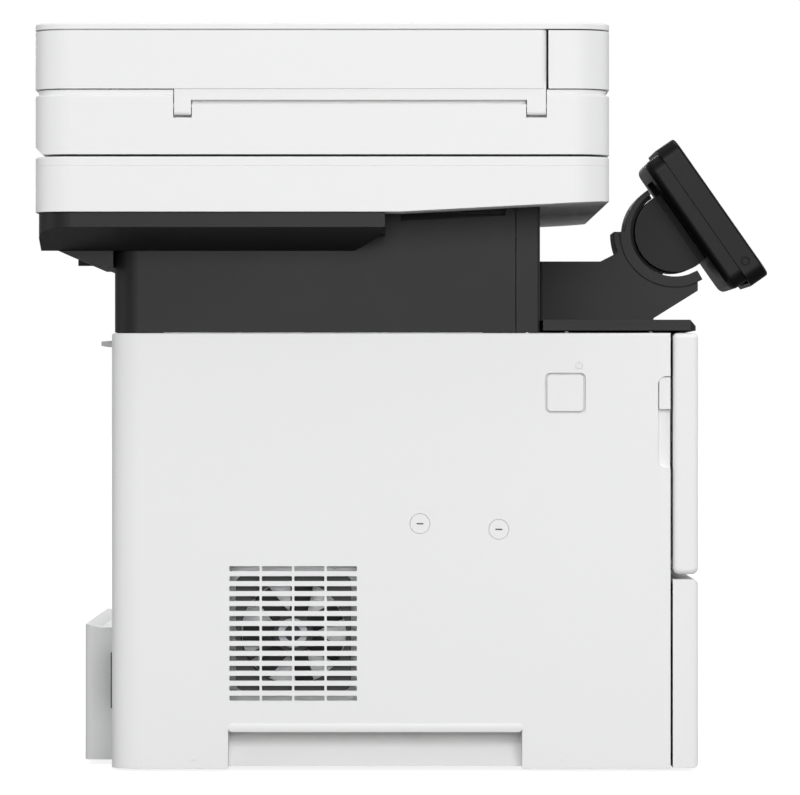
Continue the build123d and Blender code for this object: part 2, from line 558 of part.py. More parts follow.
with BuildPart() as main_board:
    block(BOARD_X, BOARD_Y, BOARD_Z)
    block((SWITCH_FACE, BOARD_X[0]), (BUTTON_CENTRE[0] - 8, BUTTON_CENTRE[0] + 8),
          (BUTTON_CENTRE[1] - 8, BUTTON_CENTRE[1] + 8))
    for chip_y, chip_z, chip in ((-20, 200, 32), (-20, 150, 20), (-90, 160, 24)):
        block((BOARD_X[0] - 3, BOARD_X[0]), (chip_y - chip / 2, chip_y + chip / 2),
              (chip_z - chip / 2, chip_z + chip / 2))
    for cap_y in (-120, -108, -60):
        rod_x((BOARD_X[0] - 14, BOARD_X[0]), cap_y, 122, 5)
    for post_y in (BOARD_Y[0] + 6, BOARD_Y[1] - 6):
        for post_z in (BOARD_Z[0] + 6, BOARD_Z[1] - 6):
            rod_x((BOARD_X[1], -frame_plate_x - STEEL), post_y, post_z, 3)
write(main_board, "main_board")

FAN_HALF = 35.0
FAN_X = (-199.0, -179.0)
FAN_BORE = 32.0
FAN_HUB = 12.0
fan_y, fan_z = VENT_CENTRE

with BuildPart() as fan_housing:
    block(FAN_X, (fan_y - FAN_HALF, fan_y + FAN_HALF), (fan_z - FAN_HALF, fan_z + FAN_HALF))
    fillet(fan_housing.edges().filter_by(Axis.X), 5)
    rod_x((FAN_X[0] - 1, FAN_X[1] + 1), fan_y, fan_z, FAN_BORE, mode=Mode.SUBTRACT)
    rod_x((FAN_X[1] - 3, FAN_X[1]), fan_y, fan_z, FAN_HUB)
    for arm in range(3):
        with BuildSketch(Plane.YZ.offset(FAN_X[1] - 3)):
            with Locations((fan_y, fan_z)):
                with PolarLocations((FAN_BORE + FAN_HUB) / 2 - 1, 1, 90 + 120 * arm):
                    Rectangle(FAN_BORE - FAN_HUB + 4, 4)
        extrude(amount=3)
    rod_x((FAN_X[0] + 4, FAN_X[1]), fan_y, fan_z, PIN_RADIUS)
    for corner_y in (fan_y - FAN_HALF + 6, fan_y + FAN_HALF - 6):
        for corner_z in (fan_z - FAN_HALF + 6, fan_z + FAN_HALF - 6):
            rod_x((FAN_X[1], -frame_plate_x - STEEL), corner_y, corner_z, 3)
write(fan_housing, "fan_housing")

BLADES = 7
BLADE_PITCH = radians(50)
with BuildPart() as fan_rotor:
    hub_x = (FAN_X[0] + 2, FAN_X[1] - 3 - CLEARANCE)
    rod_x(hub_x, fan_y, fan_z, FAN_HUB)
    for blade in range(BLADES):
        turn = radians(blade * 360 / BLADES)
        middle = (FAN_BORE + FAN_HUB) / 2 - 1
        pitched = Plane(origin=(sum(hub_x) / 2, fan_y + middle * cos(turn), fan_z + middle * sin(turn)),
                        x_dir=(cos(BLADE_PITCH), -sin(turn) * sin(BLADE_PITCH), cos(turn) * sin(BLADE_PITCH)),
                        z_dir=(0, cos(turn), sin(turn)))
        with Locations(pitched):
            Box(13, 1.5, FAN_BORE - FAN_HUB - 0.5)
    rod_x((hub_x[0] + 2, hub_x[1] + 1), fan_y, fan_z, PIN_RADIUS + RUNNING_FIT, mode=Mode.SUBTRACT)
write(fan_rotor, "fan_rotor")

# ================================================================ engine: print works
LASER_X = 118.0
LASER_Y = (-70.0, 45.0)
LASER_Z = (206.0, 230.0)
TONER_X = 116.0
DRUM_Y = -8.0
DRUM_Z = 152.0
PHOTO_DRUM_RADIUS = 12.0
FUSER_X = 118.0
FUSER_Y = (98.0, 150.0)
FUSER_Z = (126.0, 196.0)
PICKUP_Y = -118.0
PICKUP_Z = 78.0
PICKUP_RADIUS = 11.0
CROSS_SHAFT_RADIUS = 4.0

with BuildPart() as laser_unit:
    block((-LASER_X, LASER_X), LASER_Y, LASER_Z)
    fillet(laser_unit.edges().filter_by(Axis.Z), 8)
    block((-LASER_X + 12, LASER_X - 12), (LASER_Y[0] + 8, LASER_Y[0] + 16), (LASER_Z[0] - 1, LASER_Z[0] + 3),
          mode=Mode.SUBTRACT)
    rod_z(30, -10, (LASER_Z[1], LASER_Z[1] + 4), 22)
    for side in (-1, 1):
        block(mirrored((LASER_X - 1, frame_plate_x), side), (LASER_Y[0] + 20, LASER_Y[1] - 20),
              (LASER_Z[0], LASER_Z[0] + 2 * STEEL))
write(laser_unit, "laser_unit")

with BuildPart() as toner_cartridge:
    hopper = [(-118, 158), (-118, 196), (-40, 196), (-34, 188), (-22, 178), (-22, 158), (-40, 152),
              (-70, 150)]
    side_prism(hopper, (-TONER_X, TONER_X))
    fillet(toner_cartridge.edges().filter_by(Axis.X), 3)
    rod_x((-TONER_X + 2, TONER_X - 2), DRUM_Y, DRUM_Z, PHOTO_DRUM_RADIUS)
    for side in (-1, 1):
        cheek = [(-30, 140), (-30, 182), (0, 182), (10, 168), (10, 144), (4, 138)]
        side_prism(cheek, mirrored((TONER_X - 3, TONER_X + 3), side))
        rod_x(mirrored((TONER_X, frame_plate_x), side), DRUM_Y, DRUM_Z, CROSS_SHAFT_RADIUS)
    side_prism([(-118, 172), (-118, 184), (-128, 188), (-128, 184), (-122, 178)], (-40, 40))
write(toner_cartridge, "toner_cartridge")

with BuildPart() as fuser_frame:
    block((-FUSER_X, FUSER_X), FUSER_Y, FUSER_Z)
    fillet(fuser_frame.edges().filter_by(Axis.X), 6)
    # sheet passes upright between the heat roller and the pressure roller
    block((-FUSER_X + 6, FUSER_X - 6), (FUSER_Y[0] + 22, FUSER_Y[1] - 22), (FUSER_Z[0] - 1, FUSER_Z[1] + 1),
          mode=Mode.SUBTRACT)
    for side in (-1, 1):
        block(mirrored((FUSER_X - 1, frame_plate_x), side), (FUSER_Y[0] + 10, FUSER_Y[1] - 10),
              (FUSER_Z[0] + 10, FUSER_Z[0] + 14))
    for roller_y in (FUSER_Y[0] + 12, FUSER_Y[1] - 12):
        rod_x((-FUSER_X + 8, FUSER_X - 8), roller_y, sum(FUSER_Z) / 2, 11.5)
write(fuser_frame, "fuser_frame")

with BuildPart() as pickup_roller:
    rod_x((-frame_plate_x + CLEARANCE, frame_plate_x - CLEARANCE), PICKUP_Y, PICKUP_Z, CROSS_SHAFT_RADIUS)
    for tyre_x in ((-34, -12), (12, 34)):
        rod_x(tyre_x, PICKUP_Y, PICKUP_Z, PICKUP_RADIUS)
write(pickup_roller, "pickup_roller")

MOTOR_Y = 40.0
MOTOR_Z = 140.0
with BuildPart() as main_motor:
    motor_x = (frame_plate_x + STEEL, frame_plate_x + STEEL + 24)
    rod_x(motor_x, MOTOR_Y, MOTOR_Z, 26)
    block((frame_plate_x + STEEL, frame_plate_x + STEEL + 3), (MOTOR_Y - 34, MOTOR_Y + 34),
          (MOTOR_Z - 34, MOTOR_Z + 34))
    for gear_y, gear_z, gear_radius in ((-8, 152, 20), (-56, 132, 27.5), (-102, 104, 26)):
        rod_x((frame_plate_x + STEEL, frame_plate_x + STEEL + 9), gear_y, gear_z, gear_radius)
    chamfer(main_motor.faces().sort_by(Axis.X)[-1].edges(), 1.5)
write(main_motor, "main_motor")

with BuildPart() as power_inlet:
    # C14 socket with its flange outside the rear panel
    inlet_centre = ((INLET_X[0] + INLET_X[1]) / 2, (INLET_Z[0] + INLET_Z[1]) / 2)
    block((INLET_X[0] - 1, INLET_X[1] + 1), (ENGINE_REAR, ENGINE_REAR + 2), (INLET_Z[0] - 2, INLET_Z[1] + 2))
    block((INLET_X[0] + 1.3, INLET_X[1] - 1.3), (ENGINE_REAR - 26, ENGINE_REAR),
          (INLET_Z[0] + 1.3, INLET_Z[1] - 1.3))
    with BuildSketch(Plane.XZ.offset(-ENGINE_REAR - 2)):
        with Locations(inlet_centre):
            RectangleRounded(16.0, 24.5, 3)
    extrude(amount=18, mode=Mode.SUBTRACT)
    for pin_x, pin_z in ((0, 0), (-4, 7), (4, 7)):
        block((inlet_centre[0] + pin_x - 1, inlet_centre[0] + pin_x + 1), (ENGINE_REAR - 16, ENGINE_REAR - 2),
              (inlet_centre[1] + pin_z - 7 - 2, inlet_centre[1] + pin_z - 7 + 2))
    # port block on the other side of the tail
    block((PORT_X[0] + 1.3, PORT_X[1] - 1.3), (ENGINE_REAR - 20, ENGINE_REAR - 0.5),
          (PORT_Z[0] + 1.3, PORT_Z[1] - 1.3))
    port_centre = (PORT_X[0] + PORT_X[1]) / 2
    for port_z, port_width, port_height in ((48, 12, 11), (66, 13.5, 12)):
        block((port_centre - port_width / 2, port_centre + port_width / 2), (ENGINE_REAR - 14, ENGINE_REAR),
              (port_z - port_height / 2, port_z + port_height / 2), mode=Mode.SUBTRACT)
write(power_inlet, "power_inlet")

# ================================================================ output bay
TRAY_FLOOR_LOW = 238.0
TRAY_SLOPE_END = 108.0
EXIT_WALL_Y = (138.0, 140.5)
EXIT_SLOT_Z = (278.0, 304.0)
EXIT_SHAFT_Y = 149.0
EXIT_SHAFT_Z = 284.0
EXIT_ROLLER_RADIUS = 9.0
EXIT_HALF_WIDTH = 112.0
BELLY_Z = 331.2              # underside of the bay's ceiling

with BuildPart() as output_tray:
    tray_x = (-frame_plate_x + 1, frame_plate_x - 1)
    tray_sheet = [(WAIST_FRONT - 0.5, ENGINE_TOP), (-60, ENGINE_TOP - 2), (TRAY_SLOPE_END, TRAY_FLOOR_LOW),
                  (EXIT_WALL_Y[0], TRAY_FLOOR_LOW), (EXIT_WALL_Y[0], TRAY_FLOOR_LOW + 8),
                  (EXIT_WALL_Y[1], TRAY_FLOOR_LOW + 8), (EXIT_WALL_Y[1], TRAY_FLOOR_LOW - WALL),
                  (TRAY_SLOPE_END, TRAY_FLOOR_LOW - WALL), (-60, ENGINE_TOP - 2 - WALL),
                  (WAIST_FRONT - 0.5, ENGINE_TOP - WALL)]
    side_prism(tray_sheet, tray_x)
    for side in (-1, 1):
        # side walls of the sunk floor, and the ledge that meets the side cover
        wall = [(WAIST_FRONT - 0.5, ENGINE_TOP), (EXIT_WALL_Y[0] - CLEARANCE, ENGINE_TOP),
                (EXIT_WALL_Y[0] - CLEARANCE, TRAY_FLOOR_LOW - WALL), (TRAY_SLOPE_END, TRAY_FLOOR_LOW - WALL),
                (-60, ENGINE_TOP - 2 - WALL), (WAIST_FRONT - 0.5, ENGINE_TOP - WALL)]
        side_prism(wall, mirrored((frame_plate_x - 1 - WALL, frame_plate_x - 1), side))
        block(mirrored((frame_plate_x - 2, WRAP_X - CLEARANCE), side),
              (WAIST_FRONT - 0.5, EXIT_WALL_Y[0] - CLEARANCE),
              (ENGINE_TOP - WALL, ENGINE_TOP))
    for rib_x in (-80, -40, 0, 40, 80):
        side_prism([(-58, ENGINE_TOP - 2.5), (TRAY_SLOPE_END, TRAY_FLOOR_LOW - 0.5),
                    (TRAY_SLOPE_END, TRAY_FLOOR_LOW + 2), (-50, ENGINE_TOP - 2)], (rib_x - 1.5, rib_x + 1.5))
write(output_tray, "output_tray")

with BuildPart() as exit_guide:
    guide_x = (-waist_inner + 1, waist_inner - 1)
    block(guide_x, EXIT_WALL_Y, (WAIST_BOTTOM, BELLY_Z - CLEARANCE))
    block((-frame_plate_x + 2, frame_plate_x - 2), EXIT_WALL_Y, (TRAY_FLOOR_LOW + 8, WAIST_BOTTOM + 1))
    block((-EXIT_HALF_WIDTH, EXIT_HALF_WIDTH), (EXIT_WALL_Y[0] - 1, EXIT_WALL_Y[1] + 1), EXIT_SLOT_Z,
          mode=Mode.SUBTRACT)
    for side in (-1, 1):
        bearing = mirrored((EXIT_HALF_WIDTH + 4, EXIT_HALF_WIDTH + 8), side)
        block(bearing, (EXIT_WALL_Y[1], EXIT_SHAFT_Y + 8), (EXIT_SHAFT_Z - 9, EXIT_SHAFT_Z + 26))
        rod_x((bearing[0] - 1, bearing[1] + 1), EXIT_SHAFT_Y, EXIT_SHAFT_Z, 3 + RUNNING_FIT,
              mode=Mode.SUBTRACT)
    # idler rollers above the driven ones
    idler_z = EXIT_SHAFT_Z + EXIT_ROLLER_RADIUS + 6 + CLEARANCE
    rod_x((-EXIT_HALF_WIDTH - 5, EXIT_HALF_WIDTH + 5), EXIT_SHAFT_Y, idler_z, 2.5)
    for idler_x in (-75, -25, 25, 75):
        rod_x((idler_x - 6, idler_x + 6), EXIT_SHAFT_Y, idler_z, 6)
write(exit_guide, "exit_guide")

with BuildPart() as exit_roller:
    rod_x((-EXIT_HALF_WIDTH - 12, EXIT_HALF_WIDTH + 12), EXIT_SHAFT_Y, EXIT_SHAFT_Z, 3)
    for roller_x in (-75, -25, 25, 75):
        rod_x((roller_x - 8, roller_x + 8), EXIT_SHAFT_Y, EXIT_SHAFT_Z, EXIT_ROLLER_RADIUS)
write(exit_roller, "exit_roller")

# ================================================================ waist, stays and deck
PILLAR_GAP = 0.4
rise_slope = SCANNER_RISE / (SCANNER_RISE_START - HOUSING_FRONT)


def underside(y):
    """Height of the scanner's underside at y: level at the back, rising towards the front."""
    return SCANNER_BOTTOM + max(0.0, SCANNER_RISE_START - y) * rise_slope


def under_scanner(x):
    """Cuts off what would stand above the scanner's underside."""
    side_prism([(HOUSING_FRONT, underside(HOUSING_FRONT)), (SCANNER_RISE_START, SCANNER_BOTTOM),
                (HOUSING_REAR, SCANNER_BOTTOM), (HOUSING_REAR, scanner_top), (HOUSING_FRONT, scanner_top)],
               x, mode=Mode.SUBTRACT)


with BuildPart() as waist_covers:
    for side in (-1, 1):
        with BuildSketch(Plane.XY.offset(WAIST_BOTTOM)):
            with Locations((side * (WAIST_HALF_WIDTH + waist_inner) / 2, (WAIST_SEAM + WAIST_REAR) / 2)):
                Rectangle(WAIST_WALL, WAIST_REAR - WAIST_SEAM)
            rear_corner = vertices().sort_by(lambda vertex: side * vertex.X + vertex.Y)[-1]
            fillet(rear_corner, WAIST_CORNER - 0.5)
            with Locations((side * (WAIST_HALF_WIDTH + waist_inner) / 2, (WAIST_SEAM + WAIST_REAR) / 2)):
                Rectangle(WAIST_WALL - 5, WAIST_REAR - WAIST_SEAM - 2 * WAIST_CORNER, mode=Mode.SUBTRACT)
        extrude(amount=SCANNER_BOTTOM + SCANNER_RISE - WAIST_BOTTOM)
    under_scanner((-half_engine, half_engine))
    # shadow gap along the foot of the underside's rise
    for side in (-1, 1):
        gap_foot = [(WAIST_SEAM + WAIST_GAP_START, underside(WAIST_SEAM + WAIST_GAP_START)),
                    (SCANNER_RISE_START, SCANNER_BOTTOM), (SCANNER_RISE_START, SCANNER_BOTTOM - WAIST_GAP),
                    (WAIST_SEAM + WAIST_GAP_START, underside(WAIST_SEAM + WAIST_GAP_START) - WAIST_GAP)]
        side_prism(gap_foot, mirrored((WAIST_HALF_WIDTH - WAIST_GAP_DEPTH, WAIST_HALF_WIDTH + 1), side),
                   mode=Mode.SUBTRACT)
    block((-waist_inner + CLEARANCE, waist_inner - CLEARANCE), (WAIST_REAR - WALL, WAIST_REAR),
          (WAIST_BOTTOM, SCANNER_BOTTOM))
write(waist_covers, "waist_covers")

with BuildPart() as waist_pillars:
    for side in (-1, 1):
        pillar_y = (WAIST_FRONT, WAIST_SEAM - PILLAR_GAP)
        block(mirrored((waist_inner, WAIST_HALF_WIDTH), side), pillar_y,
              (WAIST_BOTTOM, underside(HOUSING_FRONT)))
    fillet(waist_pillars.edges().filter_by(Axis.Z).group_by(Axis.Y)[0], 2)
    under_scanner((-half_engine, half_engine))
write(waist_pillars, "waist_pillars")

DECK_STAY_Y = (-150.0, -96.0)
with BuildPart() as upper_stays:
    for side in (-1, 1):
        block(mirrored(STAY_X, side), STAY_Y, (FRAME_TOP - 5, SCANNER_BOTTOM))
        # foot reaching in to the frame plate
        block(mirrored((frame_plate_x + STEEL, STAY_X[1]), side), STAY_FOOT_Y,
              (FRAME_TOP - 12, FRAME_TOP - 10))
        block(mirrored(STAY_X, side), STAY_FOOT_Y, (FRAME_TOP - 10, FRAME_TOP - 5))
    # cross stay that carries the deck and the panel's neck
    block((-frame_plate_x, frame_plate_x), DECK_STAY_Y, (FRAME_TOP - 12, FRAME_TOP - 10))
    for stay_y in (DECK_STAY_Y[0], DECK_STAY_Y[1] - 2):
        block((-frame_plate_x, frame_plate_x), (stay_y, stay_y + 2), (FRAME_TOP - 10, DECK_BOTTOM))
write(upper_stays, "upper_stays")

with BuildPart() as front_deck:
    deck_outline = [(DECK_REAR, DECK_BOTTOM), (DECK_REAR, DECK_TOP), (DECK_FRONT + 3.5, DECK_TOP),
                    (DECK_FRONT, DECK_TOP - 4), (DECK_FRONT, DECK_BOTTOM)]
    side_prism(deck_outline, (-WAIST_HALF_WIDTH, WAIST_HALF_WIDTH))
    fillet(front_deck.edges().filter_by(Axis.Z).group_by(Axis.Y)[0], 4)
write(front_deck, "front_deck")

# ================================================================ scanner
GLASS_X = (-176.0, 186.0)
GLASS_Y = (-92.0, 128.0)
FEED_GLASS_X = (-222.0, -198.0)
GLASS_THICKNESS = 3.0
GLASS_LEDGE = 4.0
TOP_FRAME_THICKNESS = 5.5
BELLY_HALF_WIDTH = waist_inner - 1.0
CARRIAGE_X = (-228.0, -192.0)
CARRIAGE_Z = (347.5, 361.5)
ROD_Y = 20.0
ROD_Z = 351.5
ROD_RADIUS = 3.0
PULLEY_X = half_housing - 10.0
HINGE_Y = HOUSING_REAR - 6.4
HINGE_Z = feeder_bottom + 6.1
HINGE_KNUCKLE = 5.4
HINGE_X = (150.0, 172.0)

glass_top = scanner_top
frame_bottom = scanner_top - TOP_FRAME_THICKNESS
with BuildPart() as scanner_base:
    slab((-half_housing, half_housing), (HOUSING_FRONT, HOUSING_REAR), (SCANNER_BOTTOM, frame_bottom),
         HOUSING_CORNER)
    side_prism([(SCANNER_RISE_START, SCANNER_BOTTOM - 1), (SCANNER_RISE_START, SCANNER_BOTTOM),
                (HOUSING_FRONT - 1, underside(HOUSING_FRONT - 1)), (HOUSING_FRONT - 1, SCANNER_BOTTOM - 1)],
               (-half_housing - 1, half_housing + 1), mode=Mode.SUBTRACT)
    slab((-half_housing + WALL, half_housing - WALL), (HOUSING_FRONT + WALL, HOUSING_REAR - WALL),
         (underside(HOUSING_FRONT), frame_bottom + 1), HOUSING_CORNER - WALL, mode=Mode.SUBTRACT)
    # inner floor reaches down to the underside's wall behind the rise
    block((-half_housing + 12, half_housing - 12), (SCANNER_RISE_START + 4, HOUSING_REAR - 12),
          (SCANNER_BOTTOM + WALL, underside(HOUSING_FRONT) + 1), mode=Mode.SUBTRACT)
write(scanner_base, "scanner_base")

with BuildPart() as scanner_top_frame:
    slab((-half_housing, half_housing), (HOUSING_FRONT, HOUSING_REAR), (frame_bottom, scanner_top),
         HOUSING_CORNER)
    fillet(scanner_top_frame.faces().sort_by(Axis.Z)[-1].edges(), 1)
    for window_x in (GLASS_X, FEED_GLASS_X):
        block((window_x[0] + GLASS_LEDGE, window_x[1] - GLASS_LEDGE),
              (GLASS_Y[0] + GLASS_LEDGE, GLASS_Y[1] - GLASS_LEDGE),
              (frame_bottom - 1, scanner_top + 1), mode=Mode.SUBTRACT)
        block((window_x[0], window_x[1]), GLASS_Y, (glass_top - GLASS_THICKNESS, scanner_top + 1),
              mode=Mode.SUBTRACT)
write(scanner_top_frame, "scanner_top_frame")

with BuildPart() as platen_glass:
    for window_x in (GLASS_X, FEED_GLASS_X):
        block(window_x, GLASS_Y, (glass_top - GLASS_THICKNESS, glass_top))
write(platen_glass, "platen_glass")

with BuildPart() as carriage_rod:
    rod_x((-half_housing + WALL, half_housing - WALL), ROD_Y, ROD_Z, ROD_RADIUS)
    # toothed belt on two pulleys beside the rod
    for belt_z in (ROD_Z - 5.0, ROD_Z + 4.0):
        block((-PULLEY_X, PULLEY_X), (ROD_Y + 40, ROD_Y + 46), (belt_z, belt_z + 1))
    for pulley_x in (-PULLEY_X, PULLEY_X):
        rod_y(pulley_x, (ROD_Y + 39, ROD_Y + 47), ROD_Z, 5)
        rod_y(pulley_x, (ROD_Y + 36, ROD_Y + 50), ROD_Z, 2)
        block((pulley_x - 4, pulley_x + 4), (ROD_Y + 50, ROD_Y + 53), (underside(HOUSING_FRONT), ROD_Z + 4))
write(carriage_rod, "carriage_rod")

with BuildPart() as scan_carriage:
    block(CARRIAGE_X, (GLASS_Y[0] + 4, GLASS_Y[1] - 4), CARRIAGE_Z)
    fillet(scan_carriage.edges().filter_by(Axis.Y), 2)
    middle_x = sum(CARRIAGE_X) / 2
    block((middle_x - 2, middle_x + 2), (GLASS_Y[0] + 12, GLASS_Y[1] - 12),
          (CARRIAGE_Z[1] - 6, CARRIAGE_Z[1] + 1),
          mode=Mode.SUBTRACT)
    # bush on the rod, and room for the belt's two runs
    rod_x((CARRIAGE_X[0] - 1, CARRIAGE_X[1] + 1), ROD_Y, ROD_Z, ROD_RADIUS + RUNNING_FIT, mode=Mode.SUBTRACT)
    block((CARRIAGE_X[0] - 1, CARRIAGE_X[1] + 1), (ROD_Y + 38.5, ROD_Y + 47.5),
          (CARRIAGE_Z[0] - 1, ROD_Z + 5.6),
          mode=Mode.SUBTRACT)
write(scan_carriage, "scan_carriage")

with BuildPart() as bay_ceiling:
    ceiling_front = WAIST_FRONT + PILLAR_GAP
    ceiling = [(ceiling_front, underside(ceiling_front)), (ceiling_front + 10, BELLY_Z),
               (WAIST_REAR - WALL - CLEARANCE, BELLY_Z),
               (WAIST_REAR - WALL - CLEARANCE, SCANNER_BOTTOM), (SCANNER_RISE_START, SCANNER_BOTTOM)]
    side_prism(ceiling, (-BELLY_HALF_WIDTH, BELLY_HALF_WIDTH))
    ceiling_hollow = [(ceiling_front + 12, BELLY_Z + WALL), (WAIST_REAR - 2 * WALL, BELLY_Z + WALL),
                      (WAIST_REAR - 2 * WALL, SCANNER_BOTTOM + 1), (ceiling_front + 6, SCANNER_BOTTOM + 8),
                      (ceiling_front + 6, SCANNER_BOTTOM)]
    side_prism(ceiling_hollow, (-BELLY_HALF_WIDTH + WALL, BELLY_HALF_WIDTH - WALL), mode=Mode.SUBTRACT)
    for step_x in (-120, 0, 120):
        block((step_x - 1, step_x + 1), (ceiling_front + 14, WAIST_REAR - 2 * WALL),
              (BELLY_Z + WALL, SCANNER_BOTTOM))
write(bay_ceiling, "bay_ceiling")

SKIRT_TOP = SCANNER_BOTTOM
SKIRT_EDGE = 329.2
SKIRT_FOOT = 316.0
SKIRT_FRONT = (14.4, 34.6)
with BuildPart() as scanner_skirt:
    clear_wall = WAIST_HALF_WIDTH + CLEARANCE
    for side in (-1, 1):
        wing = [(side * (half_housing - 2), SKIRT_TOP), (side * (half_housing - 2), SKIRT_EDGE),
                (side * clear_wall, SKIRT_FOOT), (side * clear_wall, SKIRT_TOP)]
        front_prism(wing, (SKIRT_FRONT[0], HOUSING_REAR - 2))
        # the wing's front end slopes back under the housing
        nose = [(SKIRT_FRONT[0] - 1, SKIRT_EDGE - 4), (SKIRT_FRONT[0] + 3, SKIRT_EDGE - 4),
                (SKIRT_FRONT[1], SKIRT_FOOT - 1), (SKIRT_FRONT[0] - 1, SKIRT_FOOT - 1)]
        side_prism(nose, mirrored((clear_wall - 1, half_housing), side), mode=Mode.SUBTRACT)
    rear_outline = [(HOUSING_REAR - 2, SKIRT_TOP), (HOUSING_REAR - 2, SKIRT_EDGE), (213, SKIRT_FOOT),
                    (204, 312),
                    (200, 312), (188, 306.4), (WAIST_REAR + CLEARANCE, 306),
                    (WAIST_REAR + CLEARANCE, SKIRT_TOP)]
    side_prism(rear_outline, (-half_housing + 2, half_housing - 2))
    # rounded in plan like the housing above it
    slab((-half_housing + 2, half_housing - 2), (HOUSING_FRONT, HOUSING_REAR - 2), (300, SKIRT_TOP),
         HOUSING_CORNER - 2, mode=Mode.INTERSECT)
    # trim what would hang outside the sloping sides
    for side in (-1, 1):
        front_prism([(side * (half_housing + 1), SKIRT_EDGE), (side * (half_housing - 2), SKIRT_EDGE),
                     (side * clear_wall, SKIRT_FOOT), (side * clear_wall, 300),
                     (side * (half_housing + 1), 300)],
                    (SKIRT_FRONT[0] - 1, HOUSING_REAR), mode=Mode.SUBTRACT)
write(scanner_skirt, "scanner_skirt")

# ================================================================ document feeder
FEEDER_CHAMFER = 5.0
COVER_X = (-half_housing, -75.0)
COVER_FRONT = -82.5
SEAM = 1.2
LUG_Y = ((130.8, 141.0), (-82.2, -70.8))
LUG_BOTTOM = 396.4
LUG_THICKNESS = 5.0
LUG_INSET = 0.5
SKIRT_REACH = (405.5, 402.8)    # foot of the strip between the lugs, and the base's edge below it
COVER_HINGE_X = -half_housing + 3.2
COVER_HINGE_Z = 402.0
COVER_PIN_RADIUS = 1.5
TRAY_X = (-72.0, 243.0)
TRAY_Y = (-80.0, 186.0)
TRAY_Z = (440.0, 444.0)
TRAY_PIVOT_X = -66.0
REAR_WALL_Y = 188.5
FEED_ROLLER_X = -150.0
FEED_ROLLER_Z = 418.0
FEED_ROLLER_RADIUS = 12.0
FEED_SHAFT_RADIUS = 3.0
FEED_POST_Y = (-64.0, 181.0)
DOC_GUIDE_Y = 108.5

with BuildPart() as adf_hinge_brackets:
    for side in (-1, 1):
        knuckle = mirrored(HINGE_X, side)
        rod_x(knuckle, HINGE_Y, HINGE_Z, HINGE_KNUCKLE)
        block(knuckle, (HINGE_Y - HINGE_KNUCKLE, HINGE_Y + 2), (scanner_top, HINGE_Z))
        rod_x((knuckle[0] - 1, knuckle[1] + 1), HINGE_Y, HINGE_Z, PIN_RADIUS + RUNNING_FIT,
              mode=Mode.SUBTRACT)
write(adf_hinge_brackets, "adf_hinge_brackets")

with BuildPart() as adf_base:
    slab((-half_housing, half_housing), (HOUSING_FRONT, HOUSING_REAR), (feeder_bottom, feeder_top),
         HOUSING_CORNER)
    # the lower rear edge is cut back so that the feeder clears the scanner when it opens
    side_prism([(HOUSING_REAR - FEEDER_CHAMFER, feeder_bottom - 1),
                (HOUSING_REAR - FEEDER_CHAMFER, feeder_bottom),
                (HOUSING_REAR, feeder_bottom + FEEDER_CHAMFER),
                (HOUSING_REAR + 1, feeder_bottom + FEEDER_CHAMFER),
                (HOUSING_REAR + 1, feeder_bottom - 1)], (-half_housing - 1, half_housing + 1),
               mode=Mode.SUBTRACT)
    fillet(adf_base.faces().sort_by(Axis.Z)[-1].edges(), 1)
    slab((-half_housing + NECK_INSET, half_housing - NECK_INSET),
         (HOUSING_FRONT + NECK_INSET, HOUSING_REAR - NECK_INSET),
         (feeder_top, cover_bottom - 0.5), HOUSING_CORNER - NECK_INSET)
    # inside: an open tray with a floor
    slab((-half_housing + 12, -76), (HOUSING_FRONT + 12, HOUSING_REAR - 22),
         (feeder_bottom + WALL, cover_bottom + 1), 6,
         mode=Mode.SUBTRACT)
    slab((-70, half_housing - WALL), (HOUSING_FRONT + 6, HOUSING_REAR - 22),
         (feeder_bottom + WALL, feeder_top - 12), 6,
         mode=Mode.SUBTRACT)
    # delivery floor: sheets come to rest on it under the document tray
    block((-72, half_housing + 1), TRAY_Y, (feeder_top - 8, cover_bottom + 1), mode=Mode.SUBTRACT)
    for side in (-1, 1):
        slot = mirrored((HINGE_X[0] - 0.4, HINGE_X[1] + 0.4), side)
        block(slot, (HINGE_Y - 9, HOUSING_REAR + 1), (feeder_bottom - 1, HINGE_Z + 9), mode=Mode.SUBTRACT)
        pin_bore = mirrored((HINGE_X[0] - 8, HINGE_X[1] + 8), side)
        rod_x(pin_bore, HINGE_Y, HINGE_Z, PIN_RADIUS, mode=Mode.SUBTRACT)
    # posts that carry the feed roller's shaft
    for post_y in FEED_POST_Y:
        block((FEED_ROLLER_X - 6, FEED_ROLLER_X + 6), (post_y - 2, post_y + 2),
              (feeder_bottom + WALL, FEED_ROLLER_Z + 6))
        rod_y(FEED_ROLLER_X, (post_y - 3, post_y + 3), FEED_ROLLER_Z, FEED_SHAFT_RADIUS + RUNNING_FIT,
              mode=Mode.SUBTRACT)
    # pockets and pins for the feeder cover's two lugs
    for lug_y in LUG_Y:
        block((-half_housing - 1, -half_housing + LUG_THICKNESS + 6), (lug_y[0] - 0.5, lug_y[1] + 0.5),
              (LUG_BOTTOM - 1.5, cover_bottom + 1), mode=Mode.SUBTRACT)
        rod_y(COVER_HINGE_X, (lug_y[0] - 2, lug_y[1] + 2), COVER_HINGE_Z, COVER_PIN_RADIUS)
    # lower edge between the lugs, where the cover's side reaches further down
    block((-half_housing - 1, -half_housing + LUG_THICKNESS + 0.6), (LUG_Y[1][1], LUG_Y[0][0]),
          (SKIRT_REACH[1], cover_bottom + 1), mode=Mode.SUBTRACT)
write(adf_base, "adf_base")

with BuildPart() as adf_hinge_pins:
    for side in (-1, 1):
        rod_x(mirrored((HINGE_X[0] - 8, HINGE_X[1] + 8), side), HINGE_Y, HINGE_Z, PIN_RADIUS)
write(adf_hinge_pins, "adf_hinge_pins")

